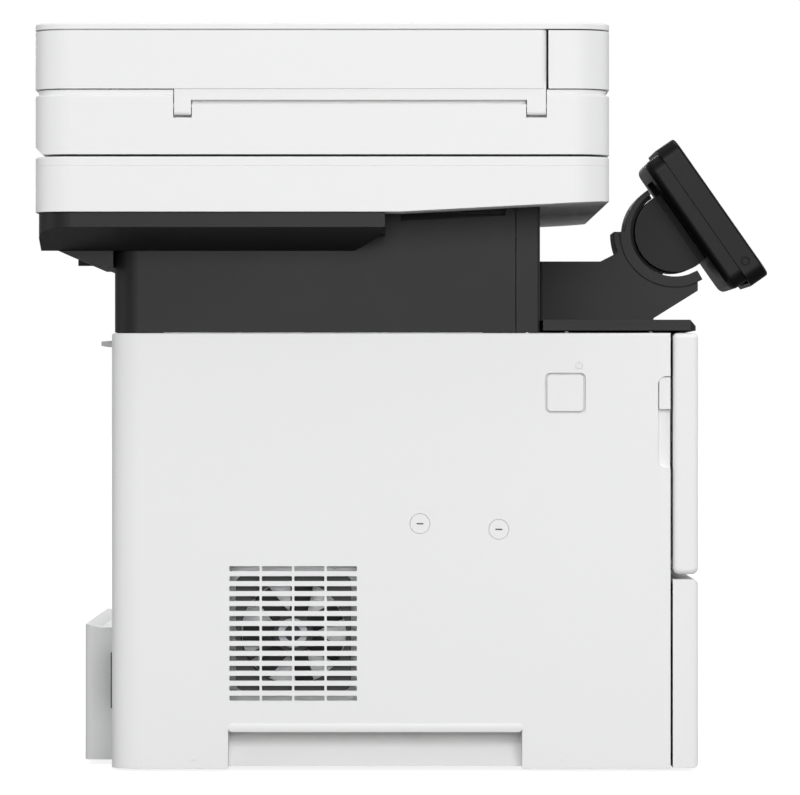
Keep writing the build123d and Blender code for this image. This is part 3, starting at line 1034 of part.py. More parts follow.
with BuildPart() as platen_sheet:
    slab((GLASS_X[0] - 6, GLASS_X[1] + 6), (GLASS_Y[0] - 6, GLASS_Y[1] + 6),
         (scanner_top + 0.4, feeder_bottom), 3)
write(platen_sheet, "platen_sheet")

with BuildPart() as feeder_cover:
    slab((COVER_X[0], COVER_X[1] + 30), (COVER_FRONT, HOUSING_REAR), (cover_bottom, cover_top), 3)
    block((COVER_X[1], COVER_X[1] + 31), (COVER_FRONT - 1, HOUSING_REAR + 1),
          (cover_bottom - 1, cover_top + 1),
          mode=Mode.SUBTRACT)
    # hollow it from below
    block((COVER_X[0] + WALL + 2, COVER_X[1] - WALL), (COVER_FRONT + WALL, HOUSING_REAR - WALL - 8),
          (cover_bottom - 1, cover_top - WALL), mode=Mode.SUBTRACT)
    # round the outer rear corner in plan, as on the housings below
    with BuildSketch(Plane.XY.offset(cover_bottom - 1)):
        with Locations((-half_housing + HOUSING_CORNER / 2 - 1, HOUSING_REAR - HOUSING_CORNER / 2 + 1)):
            Rectangle(HOUSING_CORNER + 2, HOUSING_CORNER + 2)
        with Locations((-half_housing + HOUSING_CORNER, HOUSING_REAR - HOUSING_CORNER)):
            Circle(HOUSING_CORNER, mode=Mode.SUBTRACT)
        with Locations((-half_housing + HOUSING_CORNER + 1, HOUSING_REAR - HOUSING_CORNER / 2 + 1),
                       (-half_housing + HOUSING_CORNER / 2 - 1, HOUSING_REAR - HOUSING_CORNER - 1)):
            Rectangle(2, HOUSING_CORNER + 2, mode=Mode.SUBTRACT)
    extrude(amount=COVER_HEIGHT + 2, mode=Mode.SUBTRACT)
    for lug_y in LUG_Y:
        block((-half_housing + LUG_INSET, -half_housing + LUG_THICKNESS), lug_y,
              (LUG_BOTTOM, cover_bottom + 4))
    block((-half_housing + LUG_INSET, -half_housing + LUG_THICKNESS), (LUG_Y[1][0], LUG_Y[0][1]),
          (SKIRT_REACH[0], cover_bottom + 4))
    rounded = feeder_cover.edges().filter_by(Axis.Y).filter_by_position(Axis.Z, LUG_BOTTOM - 0.1,
                                                                        LUG_BOTTOM + 0.1)
    fillet(rounded, 2)
    for lug_y in LUG_Y:
        rod_y(COVER_HINGE_X, (lug_y[0] - 1, lug_y[1] + 1), COVER_HINGE_Z, COVER_PIN_RADIUS + RUNNING_FIT,
              mode=Mode.SUBTRACT)
write(feeder_cover, "feeder_cover")

with BuildPart() as feeder_top_plate:
    slab((-half_housing, COVER_X[1] + 40), (HOUSING_FRONT, HOUSING_REAR), (cover_top, lid_top),
         HOUSING_CORNER)
    fillet(feeder_top_plate.faces().sort_by(Axis.Z)[-1].edges(), 1.2)
    block((COVER_X[1], COVER_X[1] + 41), (HOUSING_FRONT - 1, HOUSING_REAR + 1), (cover_top - 1, lid_top + 1),
          mode=Mode.SUBTRACT)
    # the slit below it, all round
    with BuildSketch(Plane.XY.offset(cover_top)):
        with Locations(((COVER_X[0] + COVER_X[1]) / 2, (HOUSING_FRONT + HOUSING_REAR) / 2)):
            Rectangle(COVER_X[1] - COVER_X[0] + 40, HOUSING_REAR - HOUSING_FRONT + 10)
        with Locations(((COVER_X[0] + COVER_X[1]) / 2 + 2, (HOUSING_FRONT + HOUSING_REAR) / 2)):
            RectangleRounded(COVER_X[1] - COVER_X[0] - 2, HOUSING_REAR - HOUSING_FRONT - 6,
                             HOUSING_CORNER - 3,
                             mode=Mode.SUBTRACT)
    extrude(amount=LID_GAP, mode=Mode.SUBTRACT)
    block((COVER_X[0] - 1, COVER_X[1] + 1), (HOUSING_FRONT - 1, COVER_FRONT + 1), (cover_top - 1, lid_bottom),
          mode=Mode.SUBTRACT)
write(feeder_top_plate, "feeder_top_plate")

with BuildPart() as adf_upper_frame:
    # front block, rounded at both front corners, with a wall along the back of the document tray
    slab((-half_housing, half_housing), (HOUSING_FRONT, HOUSING_REAR), (cover_bottom, cover_top),
         HOUSING_CORNER)
    block((-half_housing - 1, COVER_X[1] + SEAM), (COVER_FRONT - SEAM, HOUSING_REAR + 1),
          (cover_bottom - 1, cover_top + 1), mode=Mode.SUBTRACT)
    block((COVER_X[1], half_housing + 1), (COVER_FRONT - SEAM, REAR_WALL_Y),
          (cover_bottom - 1, cover_top + 1),
          mode=Mode.SUBTRACT)
    # lighter inside
    block((-half_housing + 24, half_housing - 24), (HOUSING_FRONT + WALL, COVER_FRONT - SEAM - WALL),
          (cover_bottom - 1, cover_top - WALL), mode=Mode.SUBTRACT)
    block((COVER_X[1] + SEAM + WALL, half_housing - 24), (REAR_WALL_Y + WALL, HOUSING_REAR - WALL),
          (cover_bottom - 1, cover_top - WALL), mode=Mode.SUBTRACT)
    # raised trim round the tray's right-hand side, level with the lid plate
    for strip_y in ((HOUSING_FRONT, COVER_FRONT - SEAM), (REAR_WALL_Y, HOUSING_REAR)):
        block((COVER_X[1] + SEAM, half_housing - HOUSING_CORNER), strip_y, (cover_top, lid_top - 1.0))
    # ears for the document tray's pivots
    for ear_y in ((TRAY_Y[0] - 3.5, TRAY_Y[0] - 0.5), (TRAY_Y[1] + 0.5, TRAY_Y[1] + 2.5)):
        block((TRAY_PIVOT_X - 4, TRAY_PIVOT_X + 4), ear_y, (TRAY_Z[0] - 3, cover_top))
        rod_y(TRAY_PIVOT_X, (ear_y[0] - 3, ear_y[1] + 3), sum(TRAY_Z) / 2, COVER_PIN_RADIUS + RUNNING_FIT,
              mode=Mode.SUBTRACT)
write(adf_upper_frame, "adf_upper_frame")

with BuildPart() as document_tray:
    block(TRAY_X, TRAY_Y, TRAY_Z)
    fillet(document_tray.edges().filter_by(Axis.Z).group_by(Axis.X)[-1], 12)
    rod_y(TRAY_PIVOT_X, (TRAY_Y[0] - 3.0, TRAY_Y[1] + 2.5), sum(TRAY_Z) / 2, COVER_PIN_RADIUS)
    # cross slot that both guides run in
    block((60, 70), (-62, 168), (TRAY_Z[0] - 1, TRAY_Z[1] + 1), mode=Mode.SUBTRACT)
    for rib_x in (-20, 110, 150, 190):
        block((rib_x - 1, rib_x + 1), (-60, 166), (TRAY_Z[0] - 2, TRAY_Z[0]))
write(document_tray, "document_tray")

tray_middle = sum(TRAY_Y) / 2
for side, name in ((-1, "front_document_guide"), (1, "rear_document_guide")):
    face_y = tray_middle + side * DOC_GUIDE_Y
    wall_y = (min(face_y, face_y + side * 2.5), max(face_y, face_y + side * 2.5))
    with BuildPart() as guide:
        foot_y = (min(face_y, face_y - side * 26), max(face_y, face_y - side * 26))
        block((20, 112), wall_y, (TRAY_Z[1] + CLEARANCE, lid_top - 0.6))
        block((28, 104), foot_y, (TRAY_Z[1] + CLEARANCE, TRAY_Z[1] + CLEARANCE + 1.6))
        block((60 + CLEARANCE, 70 - CLEARANCE), (foot_y[0] + 4, foot_y[1] - 4),
              (TRAY_Z[0] - 1, TRAY_Z[1] + 1))
        block((55, 75), (foot_y[0] + 4, foot_y[1] - 4), (TRAY_Z[0] - 2, TRAY_Z[0] - CLEARANCE))
    write(guide, name)

with BuildPart() as adf_feed_roller:
    rod_y(FEED_ROLLER_X, (COVER_FRONT + 14, HOUSING_REAR - 40), FEED_ROLLER_Z, FEED_SHAFT_RADIUS)
    for roller_y in (tray_middle - 34, tray_middle + 6):
        rod_y(FEED_ROLLER_X, (roller_y, roller_y + 28), FEED_ROLLER_Z, FEED_ROLLER_RADIUS)
write(adf_feed_roller, "adf_feed_roller")

# ================================================================ panel neck
lean = radians(PANEL_LEAN)
face_normal = (-cos(lean), sin(lean))      # (y, z) out of the panel's face, towards the user
face_up = (sin(lean), cos(lean))
FIT_HALF_WIDTH = 20.0
TAB_SWEEP = 20.0
RING_GROOVE = (0.8, 1.5)    # width and depth of the line round the cradle
OPEN_GAP = (-125.0, 50.0)   # start and sweep of the part of the gap that goes right through
DRUM_CLEARANCE = 0.3
HOOD_END = 57.0
CRADLE_END = -120.0
panel_plane = Plane(origin=(0, PIVOT_Y + PANEL_FACE_OFFSET * face_normal[0],
                            PIVOT_Z + PANEL_FACE_OFFSET * face_normal[1]),
                    x_dir=(1, 0, 0), z_dir=(0, face_normal[0], face_normal[1]))


def sector(radius, start, sweep, x, mode=Mode.ADD):
    """A slice of round bar about the panel's pivot; angles in degrees from +Y towards +Z."""
    centre = (PIVOT_Y, PIVOT_Z)
    with BuildSketch(Plane.YZ.offset(x[0])) as outline:
        with BuildLine():
            rim = CenterArc(centre, radius, start, sweep)
            Line(rim @ 1, centre)
            Line(centre, rim @ 0)
        make_face()
    extrude(outline.sketch, amount=x[1] - x[0], mode=mode)


with BuildPart() as panel_neck:
    neck_x = (-NECK_HALF_WIDTH, NECK_HALF_WIDTH)
    tab_foot = (PIVOT_Y + (cradle_outer + CRADLE_TAB) * cos(radians(TAB_SWEEP)),
                PIVOT_Z - (cradle_outer + CRADLE_TAB) * sin(radians(TAB_SWEEP)))
    neck_outline = [(WAIST_FRONT - 0.5, DECK_TOP), (WAIST_FRONT - 0.5, ARM_TOP), (ARM_BEND_Y, ARM_TOP),
                    tab_foot,
                    (PIVOT_Y, PIVOT_Z), (-180.0, 306.0), (-184.2, 300.7), (-184.2, 294.9),
                    (-156.0, 277.3), (-156.0, DECK_TOP)]
    side_prism(neck_outline, neck_x)
    sector(cradle_outer + CRADLE_TAB, -TAB_SWEEP, TAB_SWEEP, neck_x)
    for side in (-1, 1):
        rod_x(mirrored((NECK_HALF_WIDTH - RING_GROOVE[1], NECK_HALF_WIDTH + 1), side), PIVOT_Y, PIVOT_Z,
              cradle_outer + RING_GROOVE[0], mode=Mode.SUBTRACT)
    sector(cradle_outer, CRADLE_END, -CRADLE_END, neck_x)
    sector(cradle_inner + HOOD_WALL, 0, HOOD_END, neck_x)
    rod_x((-NECK_HALF_WIDTH - 1, NECK_HALF_WIDTH + 1), PIVOT_Y, PIVOT_Z, DRUM_RADIUS + DRUM_CLEARANCE,
          mode=Mode.SUBTRACT)
    for side in (-1, 1):
        rod_x(mirrored((FIT_HALF_WIDTH, NECK_HALF_WIDTH + 1), side), PIVOT_Y, PIVOT_Z, cradle_inner,
              mode=Mode.SUBTRACT)
    sector(cradle_inner, *OPEN_GAP, (-NECK_HALF_WIDTH - 1, NECK_HALF_WIDTH + 1), mode=Mode.SUBTRACT)
    fillet(panel_neck.edges().filter_by(Axis.Z).group_by(Axis.Y)[-1], 5)
    # core the arm from below
    block((-NECK_HALF_WIDTH + 4, NECK_HALF_WIDTH - 4), (-126, WAIST_FRONT - 5), (DECK_TOP - 1, 306),
          mode=Mode.SUBTRACT)
write(panel_neck, "panel_neck")

# ================================================================ control panel
SCREEN = (112.0, 66.0)
SCREEN_CENTRE = (0.0, 10.0)
SCREEN_THICKNESS = 2.0
SCREEN_SINK = 0.4
BEZEL_WALL = 2.5
PANEL_CORNER = 9.0
CASE_INSET = (3.0, 4.4)     # rear case inside the bezel's top and bottom edges
CASE_ROUND = 4.5
DRUM_STEP = (7.0, 4.2)      # width and depth of the notch between case and drum at each end
TILT_RANGE = 35.0
RELIEF_RADIUS = cradle_outer + 0.6
KEYS = (("start_key", (42.0, -39.5), 9.0), ("stop_key", (18.0, -39.5), 6.5))
KEY_PROUD = 0.8
PLUG_UP = -40.7
PLUG_DEPTH = 8.1
PLUG_RADII = (1.9, 3.1)
panel_middle = (PANEL_UP - PANEL_DOWN) / 2
panel_height = PANEL_UP + PANEL_DOWN


def towards_user(face):
    """How far a face's middle lies along the panel's outward normal."""
    return face.center().Y * face_normal[0] + face.center().Z * face_normal[1]


def on_panel(depth):
    """The plane at this depth behind the panel's face; its local y runs up the face."""
    return panel_plane.offset(-depth)


def panel_slab(width, height, centre, corner, depth, mode=Mode.ADD):
    """A rounded plate lying in the panel, between two depths behind its face."""
    with BuildSketch(on_panel(depth[1])) as outline:
        with Locations(centre):
            RectangleRounded(width, height, corner)
    extrude(outline.sketch, amount=depth[1] - depth[0], mode=mode)


with BuildPart() as panel_bezel:
    panel_slab(2 * PANEL_HALF_WIDTH, panel_height, (0, panel_middle), PANEL_CORNER, (0, BEZEL_DEPTH))
    fillet(panel_bezel.faces().sort_by(towards_user)[-1].edges(), 2)
    panel_slab(2 * (PANEL_HALF_WIDTH - BEZEL_WALL), panel_height - 2 * BEZEL_WALL, (0, panel_middle),
               PANEL_CORNER - BEZEL_WALL, (BEZEL_WALL, BEZEL_DEPTH + 1), mode=Mode.SUBTRACT)
    panel_slab(*SCREEN, SCREEN_CENTRE, 3, (-1, BEZEL_WALL + 1), mode=Mode.SUBTRACT)
    for key_name, key_centre, key_radius in KEYS:
        with BuildSketch(on_panel(BEZEL_WALL + 1)) as key_hole:
            with Locations(key_centre):
                Circle(key_radius + CLEARANCE)
        extrude(key_hole.sketch, amount=BEZEL_WALL + 2, mode=Mode.SUBTRACT)
    # plug in a round groove in the left end
    plug_y = PIVOT_Y + (PANEL_FACE_OFFSET - PLUG_DEPTH) * face_normal[0] + PLUG_UP * face_up[0]
    plug_z = PIVOT_Z + (PANEL_FACE_OFFSET - PLUG_DEPTH) * face_normal[1] + PLUG_UP * face_up[1]
    rod_x((-PANEL_HALF_WIDTH - 1, -PANEL_HALF_WIDTH + BEZEL_WALL / 2), plug_y, plug_z, PLUG_RADII[1],
          mode=Mode.SUBTRACT)
    rod_x((-PANEL_HALF_WIDTH + 0.2, -PANEL_HALF_WIDTH + BEZEL_WALL), plug_y, plug_z, PLUG_RADII[0])
write(panel_bezel, "panel_bezel")

with BuildPart() as touch_screen:
    panel_slab(SCREEN[0] - 0.6, SCREEN[1] - 0.6, SCREEN_CENTRE, 2.8,
               (SCREEN_SINK, SCREEN_SINK + SCREEN_THICKNESS))
write(touch_screen, "touch_screen")

with BuildPart() as panel_rear_case:
    case_height = panel_height - sum(CASE_INSET)
    case_middle = panel_middle + (CASE_INSET[1] - CASE_INSET[0]) / 2
    case_back = BEZEL_DEPTH + REAR_CASE_DEPTH
    panel_slab(2 * PANEL_HALF_WIDTH - 2, case_height, (0, case_middle), PANEL_CORNER,
               (BEZEL_DEPTH, case_back))
    back_face = panel_rear_case.faces().sort_by(towards_user)[0]
    fillet(back_face.edges(), CASE_ROUND)
    panel_slab(2 * (PANEL_HALF_WIDTH - 2 * BEZEL_WALL), case_height - 3 * BEZEL_WALL, (0, case_middle), 6,
               (BEZEL_DEPTH - 1, case_back - BEZEL_WALL), mode=Mode.SUBTRACT)
    # display body, which backs the touch screen
    panel_slab(SCREEN[0] - 6, SCREEN[1] - 6, SCREEN_CENTRE, 2,
               (SCREEN_SINK + SCREEN_THICKNESS, case_back - 1))
    # room for the neck's cradle and hood through the whole tilt
    relief_x = (-NECK_HALF_WIDTH - 0.6, NECK_HALF_WIDTH + 0.6)
    sector(RELIEF_RADIUS, CRADLE_END - 3, HOOD_END + TILT_RANGE - CRADLE_END + 6, relief_x,
           mode=Mode.SUBTRACT)
    rod_x((-FIT_HALF_WIDTH + 0.3, FIT_HALF_WIDTH - 0.3), PIVOT_Y, PIVOT_Z, DRUM_RADIUS)
    for side in (-1, 1):
        rod_x(mirrored((FIT_HALF_WIDTH - 0.5, NECK_HALF_WIDTH - 0.5), side), PIVOT_Y, PIVOT_Z, DRUM_RADIUS)
        panel_slab(DRUM_STEP[0], 2 * DRUM_RADIUS + 2, (side * (NECK_HALF_WIDTH - 3), 0), 0.5,
                   (case_back, case_back + DRUM_STEP[1]), mode=Mode.SUBTRACT)
write(panel_rear_case, "panel_rear_case")

for key_name, key_centre, key_radius in KEYS:
    with BuildPart() as key:
        for radius, depth in ((key_radius, (-KEY_PROUD, BEZEL_WALL + 0.5)),
                              (key_radius + 1.5, (BEZEL_WALL + CLEARANCE, BEZEL_WALL + CLEARANCE + 1.4))):
            with BuildSketch(on_panel(depth[1])) as key_outline:
                with Locations(key_centre):
                    Circle(radius)
            extrude(key_outline.sketch, amount=depth[1] - depth[0])
        front = key.faces().sort_by(towards_user)[-1]
        fillet(front.edges(), 0.6)
    write(key, key_name)
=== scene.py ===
"""Desktop copier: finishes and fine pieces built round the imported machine, with a plain studio."""
import json
from math import cos, hypot, pi, radians, sin

import bmesh
import bpy
from mathutils import Matrix, Vector


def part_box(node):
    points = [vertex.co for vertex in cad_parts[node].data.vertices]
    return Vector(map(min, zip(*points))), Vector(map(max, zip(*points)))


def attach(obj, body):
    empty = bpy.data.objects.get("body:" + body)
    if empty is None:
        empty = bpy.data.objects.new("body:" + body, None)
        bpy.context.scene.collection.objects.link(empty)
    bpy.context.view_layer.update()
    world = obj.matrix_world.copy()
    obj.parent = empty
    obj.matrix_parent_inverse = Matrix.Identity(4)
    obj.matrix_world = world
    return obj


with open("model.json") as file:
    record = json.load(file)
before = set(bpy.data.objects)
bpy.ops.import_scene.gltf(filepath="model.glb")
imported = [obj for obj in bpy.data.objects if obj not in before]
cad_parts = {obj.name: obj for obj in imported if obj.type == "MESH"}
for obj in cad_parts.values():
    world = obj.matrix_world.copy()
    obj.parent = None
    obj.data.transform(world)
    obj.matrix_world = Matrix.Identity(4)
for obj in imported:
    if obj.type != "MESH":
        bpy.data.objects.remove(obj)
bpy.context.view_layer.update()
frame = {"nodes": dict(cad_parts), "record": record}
nodes = frame["nodes"]
finish_of = {part["node"]: part["material_slot"] for part in frame["record"]["subparts"]}
MM = 0.001


# ------------------------------------------------------------------ shader groups
def new_group(name, inputs, outputs):
    """An empty shader group with named sockets; inputs are (name, kind, default)."""
    tree = bpy.data.node_groups.new(name, "ShaderNodeTree")
    for label, kind, value in inputs:
        made = tree.interface.new_socket(name=label, in_out="INPUT", socket_type=kind)
        made.default_value = value
    for label, kind in outputs:
        tree.interface.new_socket(name=label, in_out="OUTPUT", socket_type=kind)
    return tree, tree.nodes.new("NodeGroupInput"), tree.nodes.new("NodeGroupOutput")


def add(tree, kind, links=None, **values):
    """A node with its properties or input values set, and its inputs linked."""
    node = tree.nodes.new(kind)
    for key, value in values.items():
        if key in node.bl_rna.properties:
            setattr(node, key, value)
        else:
            node.inputs[key.replace("_", " ")].default_value = value
    for key, source in (links or {}).items():
        tree.links.new(source, node.inputs[key])
    return node


def maths(tree, operation, first, second=None, clamp=False):
    """A maths node on two sockets or numbers."""
    node = tree.nodes.new("ShaderNodeMath")
    node.operation = operation
    node.use_clamp = clamp
    for index, value in enumerate((first, second)):
        if value is None:
            continue
        if isinstance(value, (int, float)):
            node.inputs[index].default_value = value
        else:
            tree.links.new(value, node.inputs[index])
    return node.outputs[0]


def build_mould_grain():
    """Spark-eroded mould texture: fine cells for the surface, slow clouds for tone and sheen."""
    tree, given, result = new_group(
        "mould_grain",
        [("Cell scale", "NodeSocketFloat", 1800.0), ("Cloud scale", "NodeSocketFloat", 9.0)],
        [("Height", "NodeSocketFloat"), ("Clouds", "NodeSocketFloat")])
    place = add(tree, "ShaderNodeTexCoord").outputs["Object"]
    cells = add(tree, "ShaderNodeTexVoronoi", {"Vector": place, "Scale": given.outputs["Cell scale"]})
    fine = add(tree, "ShaderNodeTexNoise", {"Vector": place, "Scale": given.outputs["Cell scale"]}, Detail=2.0)
    clouds = add(tree, "ShaderNodeTexNoise", {"Vector": place, "Scale": given.outputs["Cloud scale"]},
                 Detail=5.0, Roughness=0.6)
    height = maths(tree, "ADD", cells.outputs["Distance"], fine.outputs["Fac"])
    tree.links.new(maths(tree, "MULTIPLY", height, 0.5), result.inputs["Height"])
    tree.links.new(clouds.outputs["Fac"], result.inputs["Clouds"])
    return tree


def build_edge_rub():
    """A mask that is strong on outside edges that hands and cloths rub, broken up by noise."""
    tree, given, result = new_group(
        "edge_rub",
        [("Width", "NodeSocketFloat", 0.0012), ("Break up", "NodeSocketFloat", 120.0)],
        [("Rub", "NodeSocketFloat")])
    round_off = add(tree, "ShaderNodeBevel", {"Radius": given.outputs["Width"]}, samples=4)
    surface = add(tree, "ShaderNodeNewGeometry")
    alike = tree.nodes.new("ShaderNodeVectorMath")
    alike.operation = "DOT_PRODUCT"
    tree.links.new(round_off.outputs["Normal"], alike.inputs[0])
    tree.links.new(surface.outputs["Normal"], alike.inputs[1])
    bend = maths(tree, "SUBTRACT", 1.0, alike.outputs["Value"])
    sharpened = maths(tree, "MULTIPLY", bend, 6.0, clamp=True)
    place = add(tree, "ShaderNodeTexCoord").outputs["Object"]
    patches = add(tree, "ShaderNodeTexNoise", {"Vector": place, "Scale": given.outputs["Break up"]}, Detail=3.0)
    spread = maths(tree, "MULTIPLY", patches.outputs["Fac"], 1.4, clamp=True)
    tree.links.new(maths(tree, "MULTIPLY", sharpened, spread), result.inputs["Rub"])
    return tree


def build_settled_dust():
    """A mask for faint dust on faces that look up."""
    tree, given, result = new_group(
        "settled_dust", [("Patch scale", "NodeSocketFloat", 30.0)], [("Dust", "NodeSocketFloat")])
    facing = add(tree, "ShaderNodeSeparateXYZ",
                 {"Vector": add(tree, "ShaderNodeNewGeometry").outputs["Normal"]})
    up = maths(tree, "MAXIMUM", facing.outputs["Z"], 0.0)
    place = add(tree, "ShaderNodeTexCoord").outputs["Object"]
    patches = add(tree, "ShaderNodeTexNoise", {"Vector": place, "Scale": given.outputs["Patch scale"]},
                  Detail=8.0, Roughness=0.75)
    specks = maths(tree, "SUBTRACT", patches.outputs["Fac"], 0.38)
    tree.links.new(maths(tree, "MULTIPLY", up, maths(tree, "MULTIPLY", specks, 2.2, clamp=True), clamp=True),
                   result.inputs["Dust"])
    return tree


def build_drawn_lines():
    """Fine parallel lines along X, as rolled or ground metal and rubber show them."""
    tree, given, result = new_group(
        "drawn_lines", [("Along", "NodeSocketFloat", 12.0), ("Across", "NodeSocketFloat", 900.0)],
        [("Height", "NodeSocketFloat")])
    place = add(tree, "ShaderNodeTexCoord").outputs["Object"]
    parts = add(tree, "ShaderNodeSeparateXYZ", {"Vector": place})
    stretched = add(tree, "ShaderNodeCombineXYZ", {
        "X": maths(tree, "MULTIPLY", parts.outputs["X"], given.outputs["Along"]),
        "Y": maths(tree, "MULTIPLY", parts.outputs["Y"], given.outputs["Across"]),
        "Z": maths(tree, "MULTIPLY", parts.outputs["Z"], given.outputs["Across"])})
    lines = add(tree, "ShaderNodeTexNoise", {"Vector": stretched.outputs["Vector"]}, Scale=1.0, Detail=4.0)
    tree.links.new(lines.outputs["Fac"], result.inputs["Height"])
    return tree


GRAIN, RUB, DUST, LINES = build_mould_grain(), build_edge_rub(), build_settled_dust(), build_drawn_lines()


def place_group(tree, group, **values):
    """The group in a material, with its own values."""
    node = tree.nodes.new("ShaderNodeGroup")
    node.node_tree = group
    for key, value in values.items():
        node.inputs[key.replace("_", " ")].default_value = value
    return node


def mix(tree, amount, first, second):
    """Two colours mixed by a mask; each is a socket or an (r, g, b)."""
    node = tree.nodes.new("ShaderNodeMix")
    node.data_type = "RGBA"
    for index, value in ((6, first), (7, second)):
        if isinstance(value, tuple):
            node.inputs[index].default_value = (*value, 1.0)
        else:
            tree.links.new(value, node.inputs[index])
    tree.links.new(amount, node.inputs[0])
    return node.outputs[2]


def remap(tree, value, low, high):
    """A 0 to 1 value stretched over low to high."""
    node = add(tree, "ShaderNodeMapRange", {"Value": value})
    node.inputs["To Min"].default_value = low
    node.inputs["To Max"].default_value = high
    return node.outputs["Result"]


def blank(name):
    """A new node material, its tree and its shader."""
    material = bpy.data.materials.new(name)
    material.use_nodes = True
    tree = material.node_tree
    return material, tree, tree.nodes["Principled BSDF"]


def bumped(tree, shader, height, strength, depth, corner):
    """Surface relief over softly rounded corners."""
    rounded = add(tree, "ShaderNodeBevel", samples=4, Radius=corner)
    relief = add(tree, "ShaderNodeBump", {"Height": height, "Normal": rounded.outputs["Normal"]},
                 Strength=strength, Distance=depth)
    tree.links.new(relief.outputs["Normal"], shader.inputs["Normal"])


def moulded(name, tone, rough, cell=1800.0, relief=0.12, spread=0.03, rubbed=None, rub=0.35, dust=0.10,
            corner=0.0005, coat=0.0, gloss=0.5):
    """Injection-moulded plastic: grain, slow tone changes, rubbed edges and faint dust."""
    material, tree, shader = blank(name)
    grain = place_group(tree, GRAIN, Cell_scale=cell)
    edge = place_group(tree, RUB)
    film = place_group(tree, DUST)
    darker = tuple(channel * (1 - spread) for channel in tone)
    lighter = tuple(min(1.0, channel * (1 + spread)) for channel in tone)
    base = mix(tree, grain.outputs["Clouds"], darker, lighter)
    rubbed = rubbed or tuple(min(1.0, channel * 1.12 + 0.02) for channel in tone)
    base = mix(tree, maths(tree, "MULTIPLY", edge.outputs["Rub"], rub), base, rubbed)
    base = mix(tree, maths(tree, "MULTIPLY", film.outputs["Dust"], dust), base, (0.62, 0.60, 0.57))
    tree.links.new(base, shader.inputs["Base Color"])
    sheen = remap(tree, grain.outputs["Clouds"], rough - 0.06, rough + 0.06)
    polished = maths(tree, "SUBTRACT", sheen, maths(tree, "MULTIPLY", edge.outputs["Rub"], 0.10))
    dulled = maths(tree, "ADD", polished, maths(tree, "MULTIPLY", film.outputs["Dust"], dust), clamp=True)
    tree.links.new(dulled, shader.inputs["Roughness"])
    shader.inputs["Coat Weight"].default_value = coat
    shader.inputs["Specular IOR Level"].default_value = gloss
    bumped(tree, shader, grain.outputs["Height"], relief, 0.00012, corner)
    return material


def sheet_metal(name, tone, rough, along=12.0, across=900.0, spangle=60.0):
    """Zinc-plated or turned metal: rolling lines, cloudy plating and brighter edges."""
    material, tree, shader = blank(name)
    lines = place_group(tree, LINES, Along=along, Across=across)
    edge = place_group(tree, RUB, Width=0.0006)
    cloudy = place_group(tree, GRAIN, Cell_scale=spangle, Cloud_scale=25.0)
    darker = tuple(channel * 0.82 for channel in tone)
    base = mix(tree, cloudy.outputs["Clouds"], darker, tone)
    base = mix(tree, maths(tree, "MULTIPLY", edge.outputs["Rub"], 0.5), base, (0.85, 0.85, 0.86))
    tree.links.new(base, shader.inputs["Base Color"])
    tree.links.new(remap(tree, lines.outputs["Height"], rough - 0.08, rough + 0.10), shader.inputs["Roughness"])
    shader.inputs["Metallic"].default_value = 1.0
    bumped(tree, shader, lines.outputs["Height"], 0.15, 0.00008, 0.0003)
    return material


def ground_rubber(name, tone, rough=0.8):
    """Roller and foot rubber: fine grinding marks and a dusty bloom."""
    material, tree, shader = blank(name)
    lines = place_group(tree, LINES, Along=500.0, Across=1600.0)
    film = place_group(tree, DUST, Patch_scale=80.0)
    grain = place_group(tree, GRAIN, Cell_scale=2600.0, Cloud_scale=40.0)
    bloom = tuple(channel * 1.5 + 0.02 for channel in tone)
    base = mix(tree, remap(tree, grain.outputs["Clouds"], 0.0, 0.6), tone, bloom)
    base = mix(tree, maths(tree, "MULTIPLY", film.outputs["Dust"], 0.3), base, (0.45, 0.44, 0.42))
    tree.links.new(base, shader.inputs["Base Color"])
    tree.links.new(remap(tree, grain.outputs["Clouds"], rough - 0.1, rough + 0.1), shader.inputs["Roughness"])
    bumped(tree, shader, lines.outputs["Height"], 0.4, 0.0002, 0.0004)
    return material


def float_glass(name):
    """The platen's clear glass with a few faint wipe marks."""
    material, tree, shader = blank(name)
    grain = place_group(tree, GRAIN, Cell_scale=40.0, Cloud_scale=14.0)
    tree.links.new(mix(tree, grain.outputs["Clouds"], (0.82, 0.90, 0.87), (0.90, 0.95, 0.93)),
                   shader.inputs["Base Color"])
    tree.links.new(remap(tree, grain.outputs["Clouds"], 0.01, 0.07), shader.inputs["Roughness"])
    shader.inputs["IOR"].default_value = 1.5
    shader.inputs["Transmission Weight"].default_value = 0.85
    bumped(tree, shader, grain.outputs["Clouds"], 0.02, 0.0001, 0.0003)
    return material


def display_glass(name):
    """Gloss black cover glass with finger smears that show only in its sheen."""
    material, tree, shader = blank(name)
    smears = place_group(tree, GRAIN, Cell_scale=90.0, Cloud_scale=45.0)
    tree.links.new(mix(tree, smears.outputs["Clouds"], (0.008, 0.009, 0.011), (0.020, 0.022, 0.026)),
                   shader.inputs["Base Color"])
    tree.links.new(remap(tree, smears.outputs["Clouds"], 0.03, 0.22), shader.inputs["Roughness"])
    shader.inputs["Coat Weight"].default_value = 0.6
    shader.inputs["Coat Roughness"].default_value = 0.03
    bumped(tree, shader, smears.outputs["Clouds"], 0.03, 0.0001, 0.0003)
    return material


